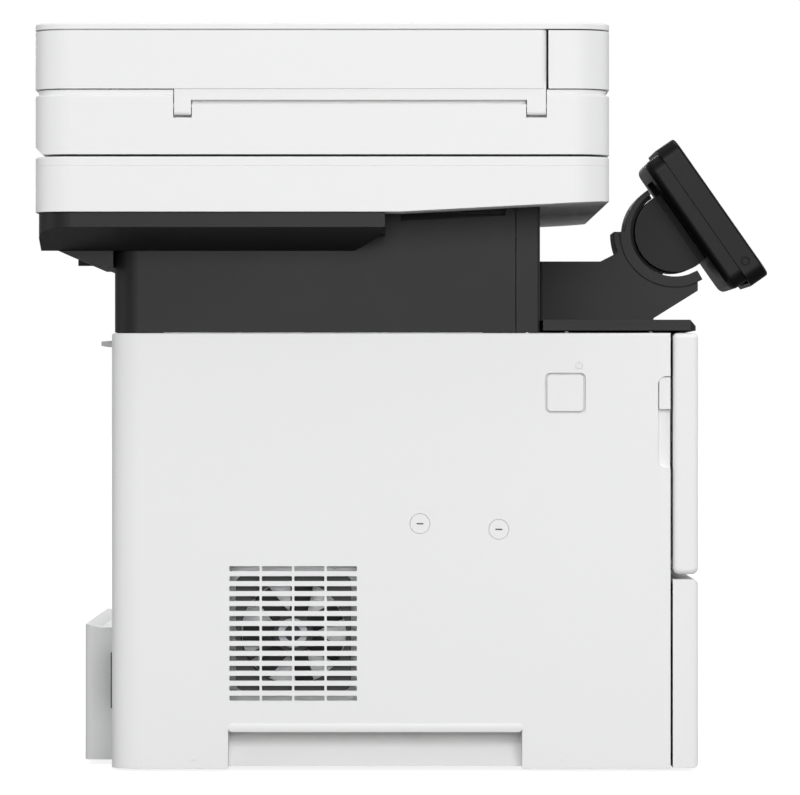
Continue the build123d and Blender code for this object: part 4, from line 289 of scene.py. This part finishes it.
def lit_tile(name, tone, glow):
    """A tile on the display: a printed colour with a weak glow."""
    material, tree, shader = blank(name)
    grain = place_group(tree, GRAIN, Cell_scale=3000.0, Cloud_scale=60.0)
    darker = tuple(channel * 0.8 for channel in tone)
    shade = mix(tree, grain.outputs["Clouds"], darker, tone)
    tree.links.new(shade, shader.inputs["Base Color"])
    tree.links.new(shade, shader.inputs["Emission Color"])
    shader.inputs["Emission Strength"].default_value = glow
    tree.links.new(remap(tree, grain.outputs["Clouds"], 0.1, 0.2), shader.inputs["Roughness"])
    bumped(tree, shader, grain.outputs["Height"], 0.02, 0.00005, 0.0001)
    return material


MATERIALS = {
    "housing_white": moulded("housing_white", (0.83, 0.83, 0.825), 0.52, relief=0.10, spread=0.012, rub=0.2,
                             dust=0.05),
    "waist_black": moulded("waist_black", (0.0105, 0.0105, 0.011), 0.50, relief=0.22, spread=0.12, rub=0.15,
                           dust=0.02, gloss=0.28),
    "panel_black": moulded("panel_black", (0.0035, 0.0035, 0.0038), 0.42, cell=2400.0, relief=0.08, spread=0.10,
                           rub=0.08, dust=0.004, gloss=0.16),
    "screen_glass": display_glass("screen_glass"),
    "scan_glass": float_glass("scan_glass"),
    "pressed_steel": sheet_metal("pressed_steel", (0.66, 0.67, 0.68), 0.34),
    "foot_rubber": ground_rubber("foot_rubber", (0.045, 0.045, 0.045)),
    "tail_grey": moulded("tail_grey", (0.70, 0.70, 0.70), 0.55, relief=0.15, spread=0.05),
    "sheet_white": moulded("sheet_white", (0.88, 0.88, 0.87), 0.7, cell=900.0, relief=0.2, spread=0.01,
                           dust=0.0),
    "works_grey": moulded("works_grey", (0.055, 0.056, 0.060), 0.58, cell=1200.0, relief=0.25, spread=0.15),
    "roller_rubber": ground_rubber("roller_rubber", (0.13, 0.13, 0.135), 0.7),
    "board_green": moulded("board_green", (0.020, 0.16, 0.065), 0.35, cell=700.0, relief=0.25, spread=0.25,
                           coat=0.3),
    "motor_metal": sheet_metal("motor_metal", (0.34, 0.35, 0.37), 0.42, across=1400.0),
    "start_green": moulded("start_green", (0.06, 0.36, 0.16), 0.25, relief=0.03, spread=0.10, coat=0.5),
    "stop_orange": moulded("stop_orange", (0.60, 0.17, 0.03), 0.25, relief=0.03, spread=0.10, coat=0.5),
}
for node_name, piece in nodes.items():
    piece.data.materials.clear()
    piece.data.materials.append(MATERIALS[finish_of[node_name]])


# ------------------------------------------------------------------ mesh tools
def new_piece(name, mesh, finish, body, material=None, sharp=30.0):
    """A finished mesh as a named piece that rides on a body and takes its finish from a slot."""
    bmesh.ops.remove_doubles(mesh, verts=mesh.verts, dist=1e-7)
    bmesh.ops.recalc_face_normals(mesh, faces=mesh.faces)
    for face in mesh.faces:
        face.smooth = True
    for edge in mesh.edges:
        if len(edge.link_faces) == 2 and edge.calc_face_angle(pi) > radians(sharp):
            edge.smooth = False
    data = bpy.data.meshes.new(name)
    mesh.to_mesh(data)
    mesh.free()
    piece = bpy.data.objects.new(name, data)
    bpy.context.scene.collection.objects.link(piece)
    data.materials.append(material or MATERIALS[finish])
    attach(piece, body)
    return piece


def axes(forward, up=(0, 0, 1)):
    """Rotation whose local Z points along forward, with local Y as near to up as it can be."""
    z = Vector(forward).normalized()
    x = Vector(up).cross(z)
    if x.length < 1e-6:
        x = Vector((1, 0, 0)).cross(z)
    x.normalize()
    return Matrix((x, z.cross(x), z)).transposed()


def place(at, forward=(0, 0, 1), up=(0, 0, 1)):
    """Local frame at a point in millimetres, with Z along forward."""
    return Matrix.Translation(Vector(at) * MM) @ axes(forward, up).to_4x4() @ Matrix.Scale(MM, 4)


def stack_rings(mesh, rings, frame_at, cap_start=True, cap_end=True):
    """Skin between rings of equal length, each a list of (x, y, z) in the local frame."""
    rows = [[mesh.verts.new(frame_at @ Vector(point)) for point in ring] for ring in rings]
    for lower, upper in zip(rows, rows[1:]):
        for index in range(len(lower)):
            after = (index + 1) % len(lower)
            mesh.faces.new((lower[index], lower[after], upper[after], upper[index]))
    if cap_start:
        mesh.faces.new(list(reversed(rows[0])))
    if cap_end:
        mesh.faces.new(rows[-1])


def circle(radius, height, count=32, turn=0.0):
    """One ring of points at a height."""
    return [(radius * cos(turn + 2 * pi * i / count), radius * sin(turn + 2 * pi * i / count), height)
            for i in range(count)]


def turned(mesh, profile, frame_at, count=32, cap_start=True, cap_end=True):
    """A turned part from (radius, height) pairs."""
    stack_rings(mesh, [circle(radius, height, count) for radius, height in profile], frame_at, cap_start,
                cap_end)


def washer(mesh, inner, outer, low, high, frame_at, soft=0.15, count=40):
    """A ring with softened rims."""
    profile = [(inner, low), (outer - soft, low), (outer, low + soft), (outer, high - soft),
               (outer - soft, high),
               (inner + soft, high), (inner, high - soft)]
    rings = [circle(radius, height, count) for radius, height in profile]
    stack_rings(mesh, rings + rings[:1], frame_at, False, False)


def rounded_outline(width, height, radius, steps=5):
    """Points round a rectangle with arc corners, centred on the origin."""
    radius = min(radius, width / 2 - 1e-4, height / 2 - 1e-4)
    points = []
    for corner, (sx, sy) in enumerate(((1, 1), (-1, 1), (-1, -1), (1, -1))):
        for step in range(steps + 1):
            angle = pi / 2 * (corner + step / steps)
            points.append((sx * (width / 2 - radius) + radius * cos(angle),
                           sy * (height / 2 - radius) + radius * sin(angle)))
    return points


def pad(mesh, width, height, thick, frame_at, radius=0.6, soft=0.2, base=0.0):
    """A flat piece with round corners and a softened top rim, standing on the local XY plane."""
    def ring(inset, level):
        shape = rounded_outline(width - 2 * inset, height - 2 * inset, max(radius - inset, 0.05))
        return [(x, y, level) for x, y in shape]
    rings = [ring(0, base), ring(0, base + thick - soft), ring(soft * 0.3, base + thick - soft * 0.3),
             ring(soft, base + thick)]
    stack_rings(mesh, rings, frame_at)


def ring_frame(mesh, width, height, band, thick, frame_at, radius=1.0, soft=0.15):
    """A rectangular rim of one band width with softened edges."""
    def ring(inset, level):
        shape = rounded_outline(width - 2 * inset, height - 2 * inset, max(radius - inset, 0.05))
        return [(x, y, level) for x, y in shape]
    rings = [ring(0, 0), ring(0, thick - soft), ring(soft, thick), ring(band - soft, thick),
             ring(band, thick - soft), ring(band, 0)]
    stack_rings(mesh, rings + rings[:1], frame_at, False, False)


def prism(mesh, outline, low, high, frame_at):
    """A straight piece of any outline between two heights."""
    stack_rings(mesh, [[(x, y, low) for x, y in outline], [(x, y, high) for x, y in outline]], frame_at)


def strip(mesh, points, width, thick, frame_at):
    """A flat raised line of one width through points in the local XY plane."""
    left, right = [], []
    for index, (x, y) in enumerate(points):
        before, after = points[max(index - 1, 0)], points[min(index + 1, len(points) - 1)]
        dx, dy = after[0] - before[0], after[1] - before[1]
        length = hypot(dx, dy)
        left.append((x - dy / length * width / 2, y + dx / length * width / 2))
        right.append((x + dy / length * width / 2, y - dx / length * width / 2))
    prism(mesh, right + left[::-1], 0, thick, frame_at)


def arc(radius, start, end, steps=24):
    """Points on an arc, angles in degrees."""
    return [(radius * cos(radians(start + (end - start) * i / steps)),
             radius * sin(radians(start + (end - start) * i / steps))) for i in range(steps + 1)]


def screw_head(mesh, radius, height, frame_at):
    """A pan-head machine screw with a cross recess."""
    ring_count = 32
    profile = [(radius, 0.0), (radius, height * 0.45), (radius * 0.86, height * 0.85), (radius * 0.62, height)]
    rings = [circle(r, h, ring_count) for r, h in profile]
    arm, slot = radius * 0.50, radius * 0.14
    cross = []
    for i in range(ring_count):
        angle = 2 * pi * i / ring_count
        folded = abs(((angle + pi / 4) % (pi / 2)) - pi / 4)
        reach = min(arm, slot / max(sin(folded), 1e-6)) if folded > 0.01 else arm
        cross.append((reach * cos(angle), reach * sin(angle)))
    rings.append([(x, y, height) for x, y in cross])
    rings.append([(x * 0.8, y * 0.8, height * 0.45) for x, y in cross])
    stack_rings(mesh, rings, frame_at)


# ------------------------------------------------------------------ studio
def studio():
    """A pale floor under soft top light, a wide softbox on the camera's side and a white surround."""
    mesh = bmesh.new()
    turned(mesh, [(0.3, 0.0), (2.0, 0.0), (30.0, 0.0)], Matrix.Identity(4), count=96, cap_start=True,
           cap_end=False)
    for face in mesh.faces:
        if face.normal.z < 0:
            face.normal_flip()
    data = bpy.data.meshes.new("studio_floor")
    mesh.to_mesh(data)
    mesh.free()
    floor = bpy.data.objects.new("studio_floor", data)
    bpy.context.scene.collection.objects.link(floor)
    material, tree, shader = blank("studio_floor")
    grain = place_group(tree, GRAIN, Cell_scale=300.0, Cloud_scale=2.0)
    tree.links.new(mix(tree, grain.outputs["Clouds"], (0.19, 0.19, 0.19), (0.21, 0.21, 0.21)),
                   shader.inputs["Base Color"])
    shader.inputs["Emission Color"].default_value = (1.0, 1.0, 1.0, 1.0)
    direct = add(tree, "ShaderNodeLightPath").outputs["Is Camera Ray"]
    tree.links.new(maths(tree, "MULTIPLY", direct, FLOOR_LIFT), shader.inputs["Emission Strength"])
    tree.links.new(remap(tree, grain.outputs["Clouds"], 0.85, 0.95), shader.inputs["Roughness"])
    shader.inputs["Specular IOR Level"].default_value = 0.1
    data.materials.append(material)

    world = bpy.data.worlds.new("studio_surround")
    bpy.context.scene.world = world
    world.use_nodes = True
    tree = world.node_tree
    tree.nodes.clear()
    seen = add(tree, "ShaderNodeBackground", Color=(1.0, 1.0, 1.0, 1.0), Strength=1.0)
    lighting = add(tree, "ShaderNodeBackground", Color=(0.97, 0.985, 1.0, 1.0), Strength=SURROUND)
    choose = tree.nodes.new("ShaderNodeMixShader")
    tree.links.new(add(tree, "ShaderNodeLightPath").outputs["Is Camera Ray"], choose.inputs["Fac"])
    tree.links.new(lighting.outputs[0], choose.inputs[1])
    tree.links.new(seen.outputs[0], choose.inputs[2])
    tree.links.new(choose.outputs[0], add(tree, "ShaderNodeOutputWorld").inputs["Surface"])

    for name, kind, energy, spread, spot, aim in LAMPS:
        lamp = bpy.data.lights.new(name, kind)
        lamp.energy = energy
        if kind == "SUN":
            lamp.angle = radians(spread)
        else:
            lamp.shape = "RECTANGLE"
            lamp.size, lamp.size_y = spread
        holder = bpy.data.objects.new(name, lamp)
        bpy.context.scene.collection.objects.link(holder)
        holder.location = spot
        holder.rotation_euler = (Vector(aim) - Vector(spot)).to_track_quat("-Z", "Y").to_euler()

    lens = bpy.data.cameras.new("studio_camera")
    lens.sensor_width = 36.0
    lens.lens = 261.0
    lens.clip_end = 60.0
    camera = bpy.data.objects.new("studio_camera", lens)
    bpy.context.scene.collection.objects.link(camera)
    camera.location = (-3.727, 0.0054, 0.2269)
    camera.rotation_euler = (radians(90), 0, radians(-90))
    bpy.context.scene.camera = camera
    bpy.context.scene.view_settings.view_transform = "Standard"


SURROUND = 0.40
FLOOR_LIFT = 0.88
LAMPS = [
    ("top_light", "SUN", 1.1, 50.0, (0, 0, 4), (0, 0, 0)),
    ("side_softbox", "AREA", 131.0, (3.0, 2.4), (-4.4, -0.5, 1.3), (0, 0, 0.2)),
    ("front_fill", "AREA", 40.0, (2.0, 2.0), (1.2, -4.0, 1.6), (0, 0, 0.2)),
    ("far_fill", "AREA", 60.0, (2.4, 2.0), (4.0, 1.0, 1.6), (0, 0, 0.2)),
    ("rear_fill", "AREA", 30.0, (1.8, 1.8), (-0.8, 4.0, 1.4), (0, 0, 0.2)),
]
studio()

# ------------------------------------------------------------------ left and right sides of the engine
ENGINE_SIDE = 205.0
ENGINE_BACK = 181.2
LIP_LENGTH, LIP_HEIGHT, LIP_THICK, LIP_CORNER = 178.6, 5.0, 0.45, 2.4
LIP_CENTRE = (20.5, 26.1)
LIFT_MARK = [(-1.5, -1.3), (1.5, -1.3), (0, 1.3)]
LIFT_MARK_RAISE = 0.3
LIFT_MARK_PLACES = ((131.0, 8.0), (-92.5, 8.0))
POWER_MARK_RADIUS, POWER_MARK_LINE, POWER_MARK_RAISE = 2.1, 0.45, 0.12
# size of the dark strip painted as the shade inside each cover cap's slot
CAP_SLOT_SHADE = (4.2, 0.7, 0.12)
POWER_MARK = (-103.4, 246.4)
CAP_PLACES = ((-6.7, 150.3), (-54.6, 146.9))


def on_side(y, z, side=-1, x=ENGINE_SIDE):
    """Frame on a side wall, with Z pointing out of the machine."""
    return place((side * x, y, z), (side, 0, 0))


def engine_sides():
    """Lip above each lift recess, moulded lift marks and the mark above the button."""
    mesh = bmesh.new()
    marks = bmesh.new()
    for side in (-1, 1):
        pad(mesh, LIP_LENGTH, LIP_HEIGHT, LIP_THICK, on_side(*LIP_CENTRE, side), radius=LIP_CORNER)
        for y, z in LIFT_MARK_PLACES:
            prism(marks, LIFT_MARK, 0, LIFT_MARK_RAISE, on_side(y, z, side))
    new_piece("lift_recess_lips", mesh, "housing_white", "chassis")
    new_piece("lift_marks", marks, "housing_white", "chassis")

    mesh = bmesh.new()
    mark_at = on_side(*POWER_MARK)
    strip(mesh, arc(POWER_MARK_RADIUS, 125, 415), POWER_MARK_LINE, POWER_MARK_RAISE, mark_at)
    strip(mesh, [(0, 0.5), (0, 2.8)], POWER_MARK_LINE, POWER_MARK_RAISE, mark_at)
    new_piece("power_mark", mesh, "tail_grey", "chassis")

    # painted shade: a dark strip stands for the shaded hollow of the cross slot in each round cover cap
    mesh = bmesh.new()
    for y, z in CAP_PLACES:
        pad(mesh, *CAP_SLOT_SHADE, on_side(y, z), radius=0.3, soft=0.05)
    new_piece("cap_slot_shade_strips", mesh, "works_grey", "chassis")


SCREW_RADIUS, REAR_SCREW_RAISE, PAN_SCREW_RAISE, PAN_LEVEL = 2.8, 1.7, 1.5, 4.0
REAR_SCREW_X, REAR_SCREW_Z = (-150.0, 150.0), (92.0, 170.0, 250.0)
PAN_SCREW_X, PAN_SCREW_Y = (-120.0, 120.0), (-120.0, 20.0, 140.0)


def rear_and_underside_screws():
    """Pan-head screws that hold the rear panel and the base pan."""
    mesh = bmesh.new()
    for x in REAR_SCREW_X:
        for z in REAR_SCREW_Z:
            screw_head(mesh, SCREW_RADIUS, REAR_SCREW_RAISE, place((x, ENGINE_BACK, z), (0, 1, 0)))
    new_piece("rear_panel_screws", mesh, "pressed_steel", "chassis")
    mesh = bmesh.new()
    for x in PAN_SCREW_X:
        for y in PAN_SCREW_Y:
            screw_head(mesh, SCREW_RADIUS, PAN_SCREW_RAISE, place((x, y, PAN_LEVEL), (0, 0, -1), (0, 1, 0)))
    new_piece("base_pan_screws", mesh, "pressed_steel", "chassis")


engine_sides()
rear_and_underside_screws()

# ------------------------------------------------------------------ control panel
LEAN = radians(35.0)
FACE_NORMAL = Vector((0, -cos(LEAN), sin(LEAN)))
FACE_UP = Vector((0, sin(LEAN), cos(LEAN)))
FACE_FOOT = Vector((0, -169.7, 332.4)) + 31.8 * FACE_NORMAL
SCREEN_SIZE, SCREEN_RAISE, SCREEN_DEPTH = (111.4, 65.4), 10.0, 0.4
TILE_ROWS, TILE_COLUMNS, TILE, TILE_PITCH = 2, 4, (19.0, 15.5), (23.5, 19.5)
TILE_THICK, TILE_CORNER = 0.08, 2.0
START_KEY, STOP_KEY, KEY_PROUD = (42.0, -39.5), (18.0, -39.5), 0.8
STATUS_LAMP, STATUS_LAMP_X = (4.2, 1.4, 0.3), (-46.0, -38.0)
START_MARK = [(-1.6, -3.0), (3.2, 0.0), (-1.6, 3.0)]
STOP_MARK, KEY_MARK_RAISE = 4.2, 0.1


def on_face(x, y, out=0.0):
    """Frame on the control panel's face, with local Y up the face."""
    return place(FACE_FOOT + Vector((x, 0, 0)) + y * FACE_UP + out * FACE_NORMAL, FACE_NORMAL, FACE_UP)


def control_panel():
    """Screen tiles with plain shapes, a status bar on the screen, lamps and key marks."""
    tiles = bmesh.new()
    marks = bmesh.new()
    level = -SCREEN_DEPTH
    for row in range(TILE_ROWS):
        for column in range(TILE_COLUMNS):
            x = (column - (TILE_COLUMNS - 1) / 2) * TILE_PITCH[0]
            y = SCREEN_RAISE - 4.0 + (row - (TILE_ROWS - 1) / 2) * TILE_PITCH[1]
            pad(tiles, *TILE, TILE_THICK, on_face(x, y, level), radius=TILE_CORNER, soft=0.03)
            ring_frame(marks, 7.5 - column % 2, 6.0 + row, 0.6, 0.05, on_face(x, y + 1.5, level + TILE_THICK),
                       radius=0.8 + 0.5 * column, soft=0.02)
    new_piece("screen_tiles", tiles, "screen_glass", "panel",
              lit_tile("screen_tile_glow", (0.10, 0.26, 0.42), 0.35))
    new_piece("screen_tile_marks", marks, "screen_glass", "panel",
              lit_tile("screen_mark_glow", (0.75, 0.85, 0.92), 0.5))
    mesh = bmesh.new()
    bar_at = on_face(0, SCREEN_RAISE + SCREEN_SIZE[1] / 2 - 7, level)
    pad(mesh, SCREEN_SIZE[0] - 10, 6.0, TILE_THICK, bar_at, radius=1.0, soft=0.03)
    new_piece("screen_status_bar", mesh, "screen_glass", "panel",
              lit_tile("status_bar_glow", (0.16, 0.18, 0.21), 0.3))
    mesh = bmesh.new()
    for x in STATUS_LAMP_X:
        pad(mesh, *STATUS_LAMP, on_face(x, START_KEY[1]), radius=0.6, soft=0.1)
    new_piece("status_lamps", mesh, "start_green", "panel",
              lit_tile("status_lamp_glow", (0.10, 0.55, 0.20), 0.8))

    mesh = bmesh.new()
    mark_at = on_face(*START_KEY, KEY_PROUD)
    prism(mesh, START_MARK, 0, KEY_MARK_RAISE, mark_at)
    new_piece("start_key_mark", mesh, "sheet_white", "start_key")
    mesh = bmesh.new()
    pad(mesh, STOP_MARK, STOP_MARK, KEY_MARK_RAISE, on_face(*STOP_KEY, KEY_PROUD), radius=0.4, soft=0.04)
    new_piece("stop_key_mark", mesh, "sheet_white", "stop_key")


control_panel()

# ------------------------------------------------------------------ works inside the engine
BOARD_FACE = 170.0
CAPACITOR_PROFILE = [(4.0, 0.0), (4.0, 8.6), (3.6, 9.4), (1.2, 9.4), (1.0, 9.1)]
CONNECTOR_WIDTH, CONNECTOR_RAISE, CONNECTOR_PITCH = 6.0, 4.0, 3.0
CAPACITORS = ((-60.0, 205.0), (-60.0, 190.0), (-74.0, 205.0), (-74.0, 190.0), (0.0, 232.0), (-12.0, 232.0))
CONNECTORS = ((-125.0, 240.0, 22.0), (-90.0, 240.0, 30.0), (-48.0, 240.0, 26.0), (-110.0, 118.0, 34.0))
CHIPS = ((-20.0, 200.0, 32.0), (-20.0, 150.0, 20.0), (-90.0, 160.0, 24.0))
GEARS = ((-8.0, 152.0, 20.0), (-56.0, 132.0, 27.5), (-102.0, 104.0, 26.0))
GEAR_FACE, GEAR_WIDTH, TOOTH_PITCH, TOOTH_DEPTH, RIM_WIDTH = 161.5, 9.0, 3.2, 1.8, 3.0
TOOTH_SHAPE = ((0.0, 0), (0.28, 0), (0.42, 1), (0.78, 1), (0.92, 0))
MOTOR_PLACE = (40.0, 140.0)
INLET_PLACE, PRONG_PITCH, PRONG_LENGTH = (-151.5, 53.0), 6.0, 15.0
PULL_BAR_Y, PULL_BAR_Z, PULL_RIBS, PULL_PITCH = -128.0, 186.0, 19, 4.0
# size and place of the dark pads painted on the stays as the shadow in the gap under the scanner
STAY_SHADE_PAD, STAY_SHADE_PAD_Y = (76.0, 12.0), -20.0


def main_board_parts():
    """Capacitors, edge connectors and the pins of the chips on the main board."""
    mesh = bmesh.new()
    for y, z in CAPACITORS:
        turned(mesh, CAPACITOR_PROFILE, on_side(y, z, x=BOARD_FACE), count=24)
    new_piece("board_capacitors", mesh, "motor_metal", "chassis")
    mesh = bmesh.new()
    for y, z, length in CONNECTORS:
        pad(mesh, length, CONNECTOR_WIDTH, CONNECTOR_RAISE, on_side(y, z, x=BOARD_FACE), radius=0.5)
        pins = int(length / CONNECTOR_PITCH) - 1
        for i in range(pins):
            pin_y = y + (i - (pins - 1) / 2) * CONNECTOR_PITCH
            pad(mesh, 0.8, 1.6, 0.8, on_side(pin_y, z, x=BOARD_FACE + CONNECTOR_RAISE), radius=0.2, soft=0.1)
    new_piece("board_connectors", mesh, "sheet_white", "chassis")
    mesh = bmesh.new()
    for y, z, size in CHIPS:
        count = int(size / 2)
        for i in range(count):
            along = (i - (count - 1) / 2) * (size - 3) / (count - 1)
            for side in (-1, 1):
                out = side * (size / 2 + 1.0)
                pad(mesh, 2.2, 0.7, 0.5, on_side(y + out, z + along, x=BOARD_FACE), radius=0.15, soft=0.08)
                pad(mesh, 0.7, 2.2, 0.5, on_side(y + along, z + out, x=BOARD_FACE), radius=0.15, soft=0.08)
    new_piece("chip_pins", mesh, "motor_metal", "chassis")


def gear_wheel(mesh, radius, low, high, frame_at):
    """Rim of trapezoid teeth round a plain disc."""
    teeth = round(2 * pi * radius / TOOTH_PITCH)
    ring = []
    for i in range(teeth):
        for share, raised in TOOTH_SHAPE:
            angle = 2 * pi * (i + share) / teeth
            reach = radius + raised * TOOTH_DEPTH
            ring.append((reach * cos(angle), reach * sin(angle)))
    inner = [((radius - RIM_WIDTH) * x / hypot(x, y), (radius - RIM_WIDTH) * y / hypot(x, y)) for x, y in ring]
    rings = [[(x, y, level) for x, y in shape]
             for shape, level in ((inner, low), (ring, low), (ring, high), (inner, high))]
    stack_rings(mesh, rings + rings[:1], frame_at, False, False)


def drive_train():
    """Teeth and bosses of the drive gears, and the ring on the motor's cap."""
    mesh = bmesh.new()
    for y, z, radius in GEARS:
        at = on_side(y, z, 1, x=GEAR_FACE)
        gear_wheel(mesh, radius, 0.8, GEAR_WIDTH + 0.3, at)
        turned(mesh, [(4.5, GEAR_WIDTH), (4.5, GEAR_WIDTH + 1.6), (4.1, GEAR_WIDTH + 2.0)], at, count=28)
    new_piece("drive_gear_teeth", mesh, "sheet_white", "chassis")
    mesh = bmesh.new()
    motor_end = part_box("main_motor")[1].x / MM
    washer(mesh, 4.0, 14.0, 0.0, 0.8, on_side(*MOTOR_PLACE, 1, x=motor_end))
    new_piece("motor_cap_ring", mesh, "pressed_steel", "chassis")


def roller_rings(name, at, forward, radius, centres, half_width, body, pitch=3.0):
    """Fine ground ribs round the tyres of a roller."""
    mesh = bmesh.new()
    for centre in centres:
        count = int(2 * half_width / pitch)
        for i in range(count):
            along = centre + (i - (count - 1) / 2) * pitch
            washer(mesh, radius - 1.0, radius + 0.15, along - 0.6, along + 0.6, place(at, forward), soft=0.1)
    new_piece(name, mesh, "roller_rubber", body)


def inlet_and_fan():
    """Prongs in the mains inlet and a hub ring on the fan."""
    mesh = bmesh.new()
    inlet_x, inlet_z = INLET_PLACE
    for row in (-1, 0, 1):
        prong_at = place((inlet_x, ENGINE_BACK - PRONG_LENGTH - 2.0, inlet_z + row * PRONG_PITCH), (0, 1, 0))
        pad(mesh, 4.2, 1.6, PRONG_LENGTH, prong_at, radius=0.5)
    new_piece("inlet_prongs", mesh, "motor_metal", "chassis")
    mesh = bmesh.new()
    low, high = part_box("fan_rotor")
    middle = (low + high) / (2 * MM)
    washer(mesh, 5.0, 9.0, 0.0, 0.35, on_side(middle.y, middle.z, x=-low.x / MM), soft=0.1)
    new_piece("fan_hub_ring", mesh, "motor_metal", "fan_rotor")


def toner_ribs():
    """Gripping ribs along the toner cartridge's pull bar."""
    mesh = bmesh.new()
    for i in range(PULL_RIBS):
        rib_x = (i - (PULL_RIBS - 1) / 2) * PULL_PITCH
        pad(mesh, 1.2, 7.0, 0.5, place((rib_x, PULL_BAR_Y, PULL_BAR_Z), (0, -1, 0)), radius=0.4)
    new_piece("toner_pull_ribs", mesh, "works_grey", "chassis")


def stay_shade_pads():
    """Painted shade: dark pads on the outer face of each side stay, standing for the shadow in the gap under
    the scanner.
    """
    mesh = bmesh.new()
    stay_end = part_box("upper_stays")[1] / MM
    shade_pad_z = stay_end.z - STAY_SHADE_PAD[1] / 2
    for side in (-1, 1):
        pad(mesh, *STAY_SHADE_PAD, 0.6, on_side(STAY_SHADE_PAD_Y, shade_pad_z, side, x=stay_end.x), radius=0.4)
    new_piece("stay_shade_pads", mesh, "waist_black", "chassis")


main_board_parts()
drive_train()
stay_shade_pads()
roller_rings("pickup_roller_ribs", (0, -118.0, 78.0), (1, 0, 0), 11.0, (-23.0, 23.0), 10.0, "pickup_roller")
roller_rings("exit_roller_ribs", (0, 149.0, 284.0), (1, 0, 0), 9.0, (-75.0, -25.0, 25.0, 75.0), 6.0,
             "exit_roller")
inlet_and_fan()
toner_ribs()

# ------------------------------------------------------------------ scanner, feeder and trays
GLASS_EDGE_X, GLASS_SPAN_Y = -179.0, (-92.0, 128.0)
SCALE_STEP = 10.0
PRINT_RAISE = 0.08
TRAY_MIDDLE = 53.0
SIZE_LINES = ((104.0, 9.0), (91.0, 6.0), (74.0, 9.0), (64.0, 6.0))
SIZE_LINE_X = 77.0
SHEET_MARK_X, SHEET_MARK_LINES = 150.0, (8.0, 8.0, 6.0)
GAUGE_X, GAUGE_Z, GAUGE_TICK_X = 158.0, 60.0, 166.0


def platen_scale():
    """Ticks down the glass's left edge, a longer one at every fifth, and the corner arrow."""
    mesh = bmesh.new()
    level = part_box("scanner_top_frame")[1].z / MM
    for i in range(int((GLASS_SPAN_Y[1] - GLASS_SPAN_Y[0]) / SCALE_STEP) + 1):
        length = 4.5 if i % 5 == 0 else 2.6
        at = place((GLASS_EDGE_X - length / 2 - 0.8, GLASS_SPAN_Y[1] - i * SCALE_STEP, level))
        pad(mesh, length, 0.4, PRINT_RAISE, at, radius=0.1, soft=0.03)
    prism(mesh, [(-1.8, 1.6), (1.8, 1.6), (0, -1.6)], 0, PRINT_RAISE,
          place((GLASS_EDGE_X - 9.0, GLASS_SPAN_Y[1], level)))
    new_piece("platen_scale", mesh, "works_grey", "chassis")


def document_tray_marks():
    """Sheet-size lines beside the guides' slot and a plain face-up sheet mark."""
    mesh = bmesh.new()
    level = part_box("document_tray")[1].z / MM
    for from_middle, length in SIZE_LINES:
        for side in (-1, 1):
            at = place((SIZE_LINE_X + length / 2, TRAY_MIDDLE + side * from_middle, level))
            pad(mesh, length, 0.5, PRINT_RAISE, at, radius=0.15, soft=0.03)
    sheet_at = place((SHEET_MARK_X, TRAY_MIDDLE, level))
    ring_frame(mesh, 13.0, 17.0, 0.6, PRINT_RAISE, sheet_at, radius=0.8, soft=0.03)
    for i, length in enumerate(SHEET_MARK_LINES):
        line_at = place((SHEET_MARK_X, TRAY_MIDDLE + 4.0 - 3.2 * i, level))
        pad(mesh, length, 0.6, PRINT_RAISE, line_at, radius=0.2, soft=0.03)
    new_piece("document_tray_marks", mesh, "works_grey", "document_tray")


def cassette_gauge():
    """Paper level window at the right end of the cassette's front, with its frame and ticks."""
    mesh = bmesh.new()
    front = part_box("cassette_front")[0].y / MM
    at = place((GAUGE_X, front, GAUGE_Z), (0, -1, 0))
    ring_frame(mesh, 8.0, 34.0, 1.0, 0.4, at, radius=2.0)
    new_piece("level_window_frame", mesh, "works_grey", "cassette")
    mesh = bmesh.new()
    pad(mesh, 6.2, 32.2, 0.2, at, radius=1.2, soft=0.1)
    new_piece("level_window", mesh, "screen_glass", "cassette")
    mesh = bmesh.new()
    for i in range(4):
        tick_at = place((GAUGE_TICK_X + 0.45 * i, front, GAUGE_Z - 12.0 + 8.0 * i), (0, -1, 0))
        pad(mesh, 1.5 + 0.9 * i, 0.6, 0.1, tick_at, radius=0.2, soft=0.04)
    new_piece("level_window_ticks", mesh, "tail_grey", "cassette")


platen_scale()
document_tray_marks()
cassette_gauge()
roller_rings("feed_roller_ribs", (-150.0, 53.0, 418.0), (0, 1, 0), 12.0, (-20.0, 20.0), 13.0, "feed_roller")
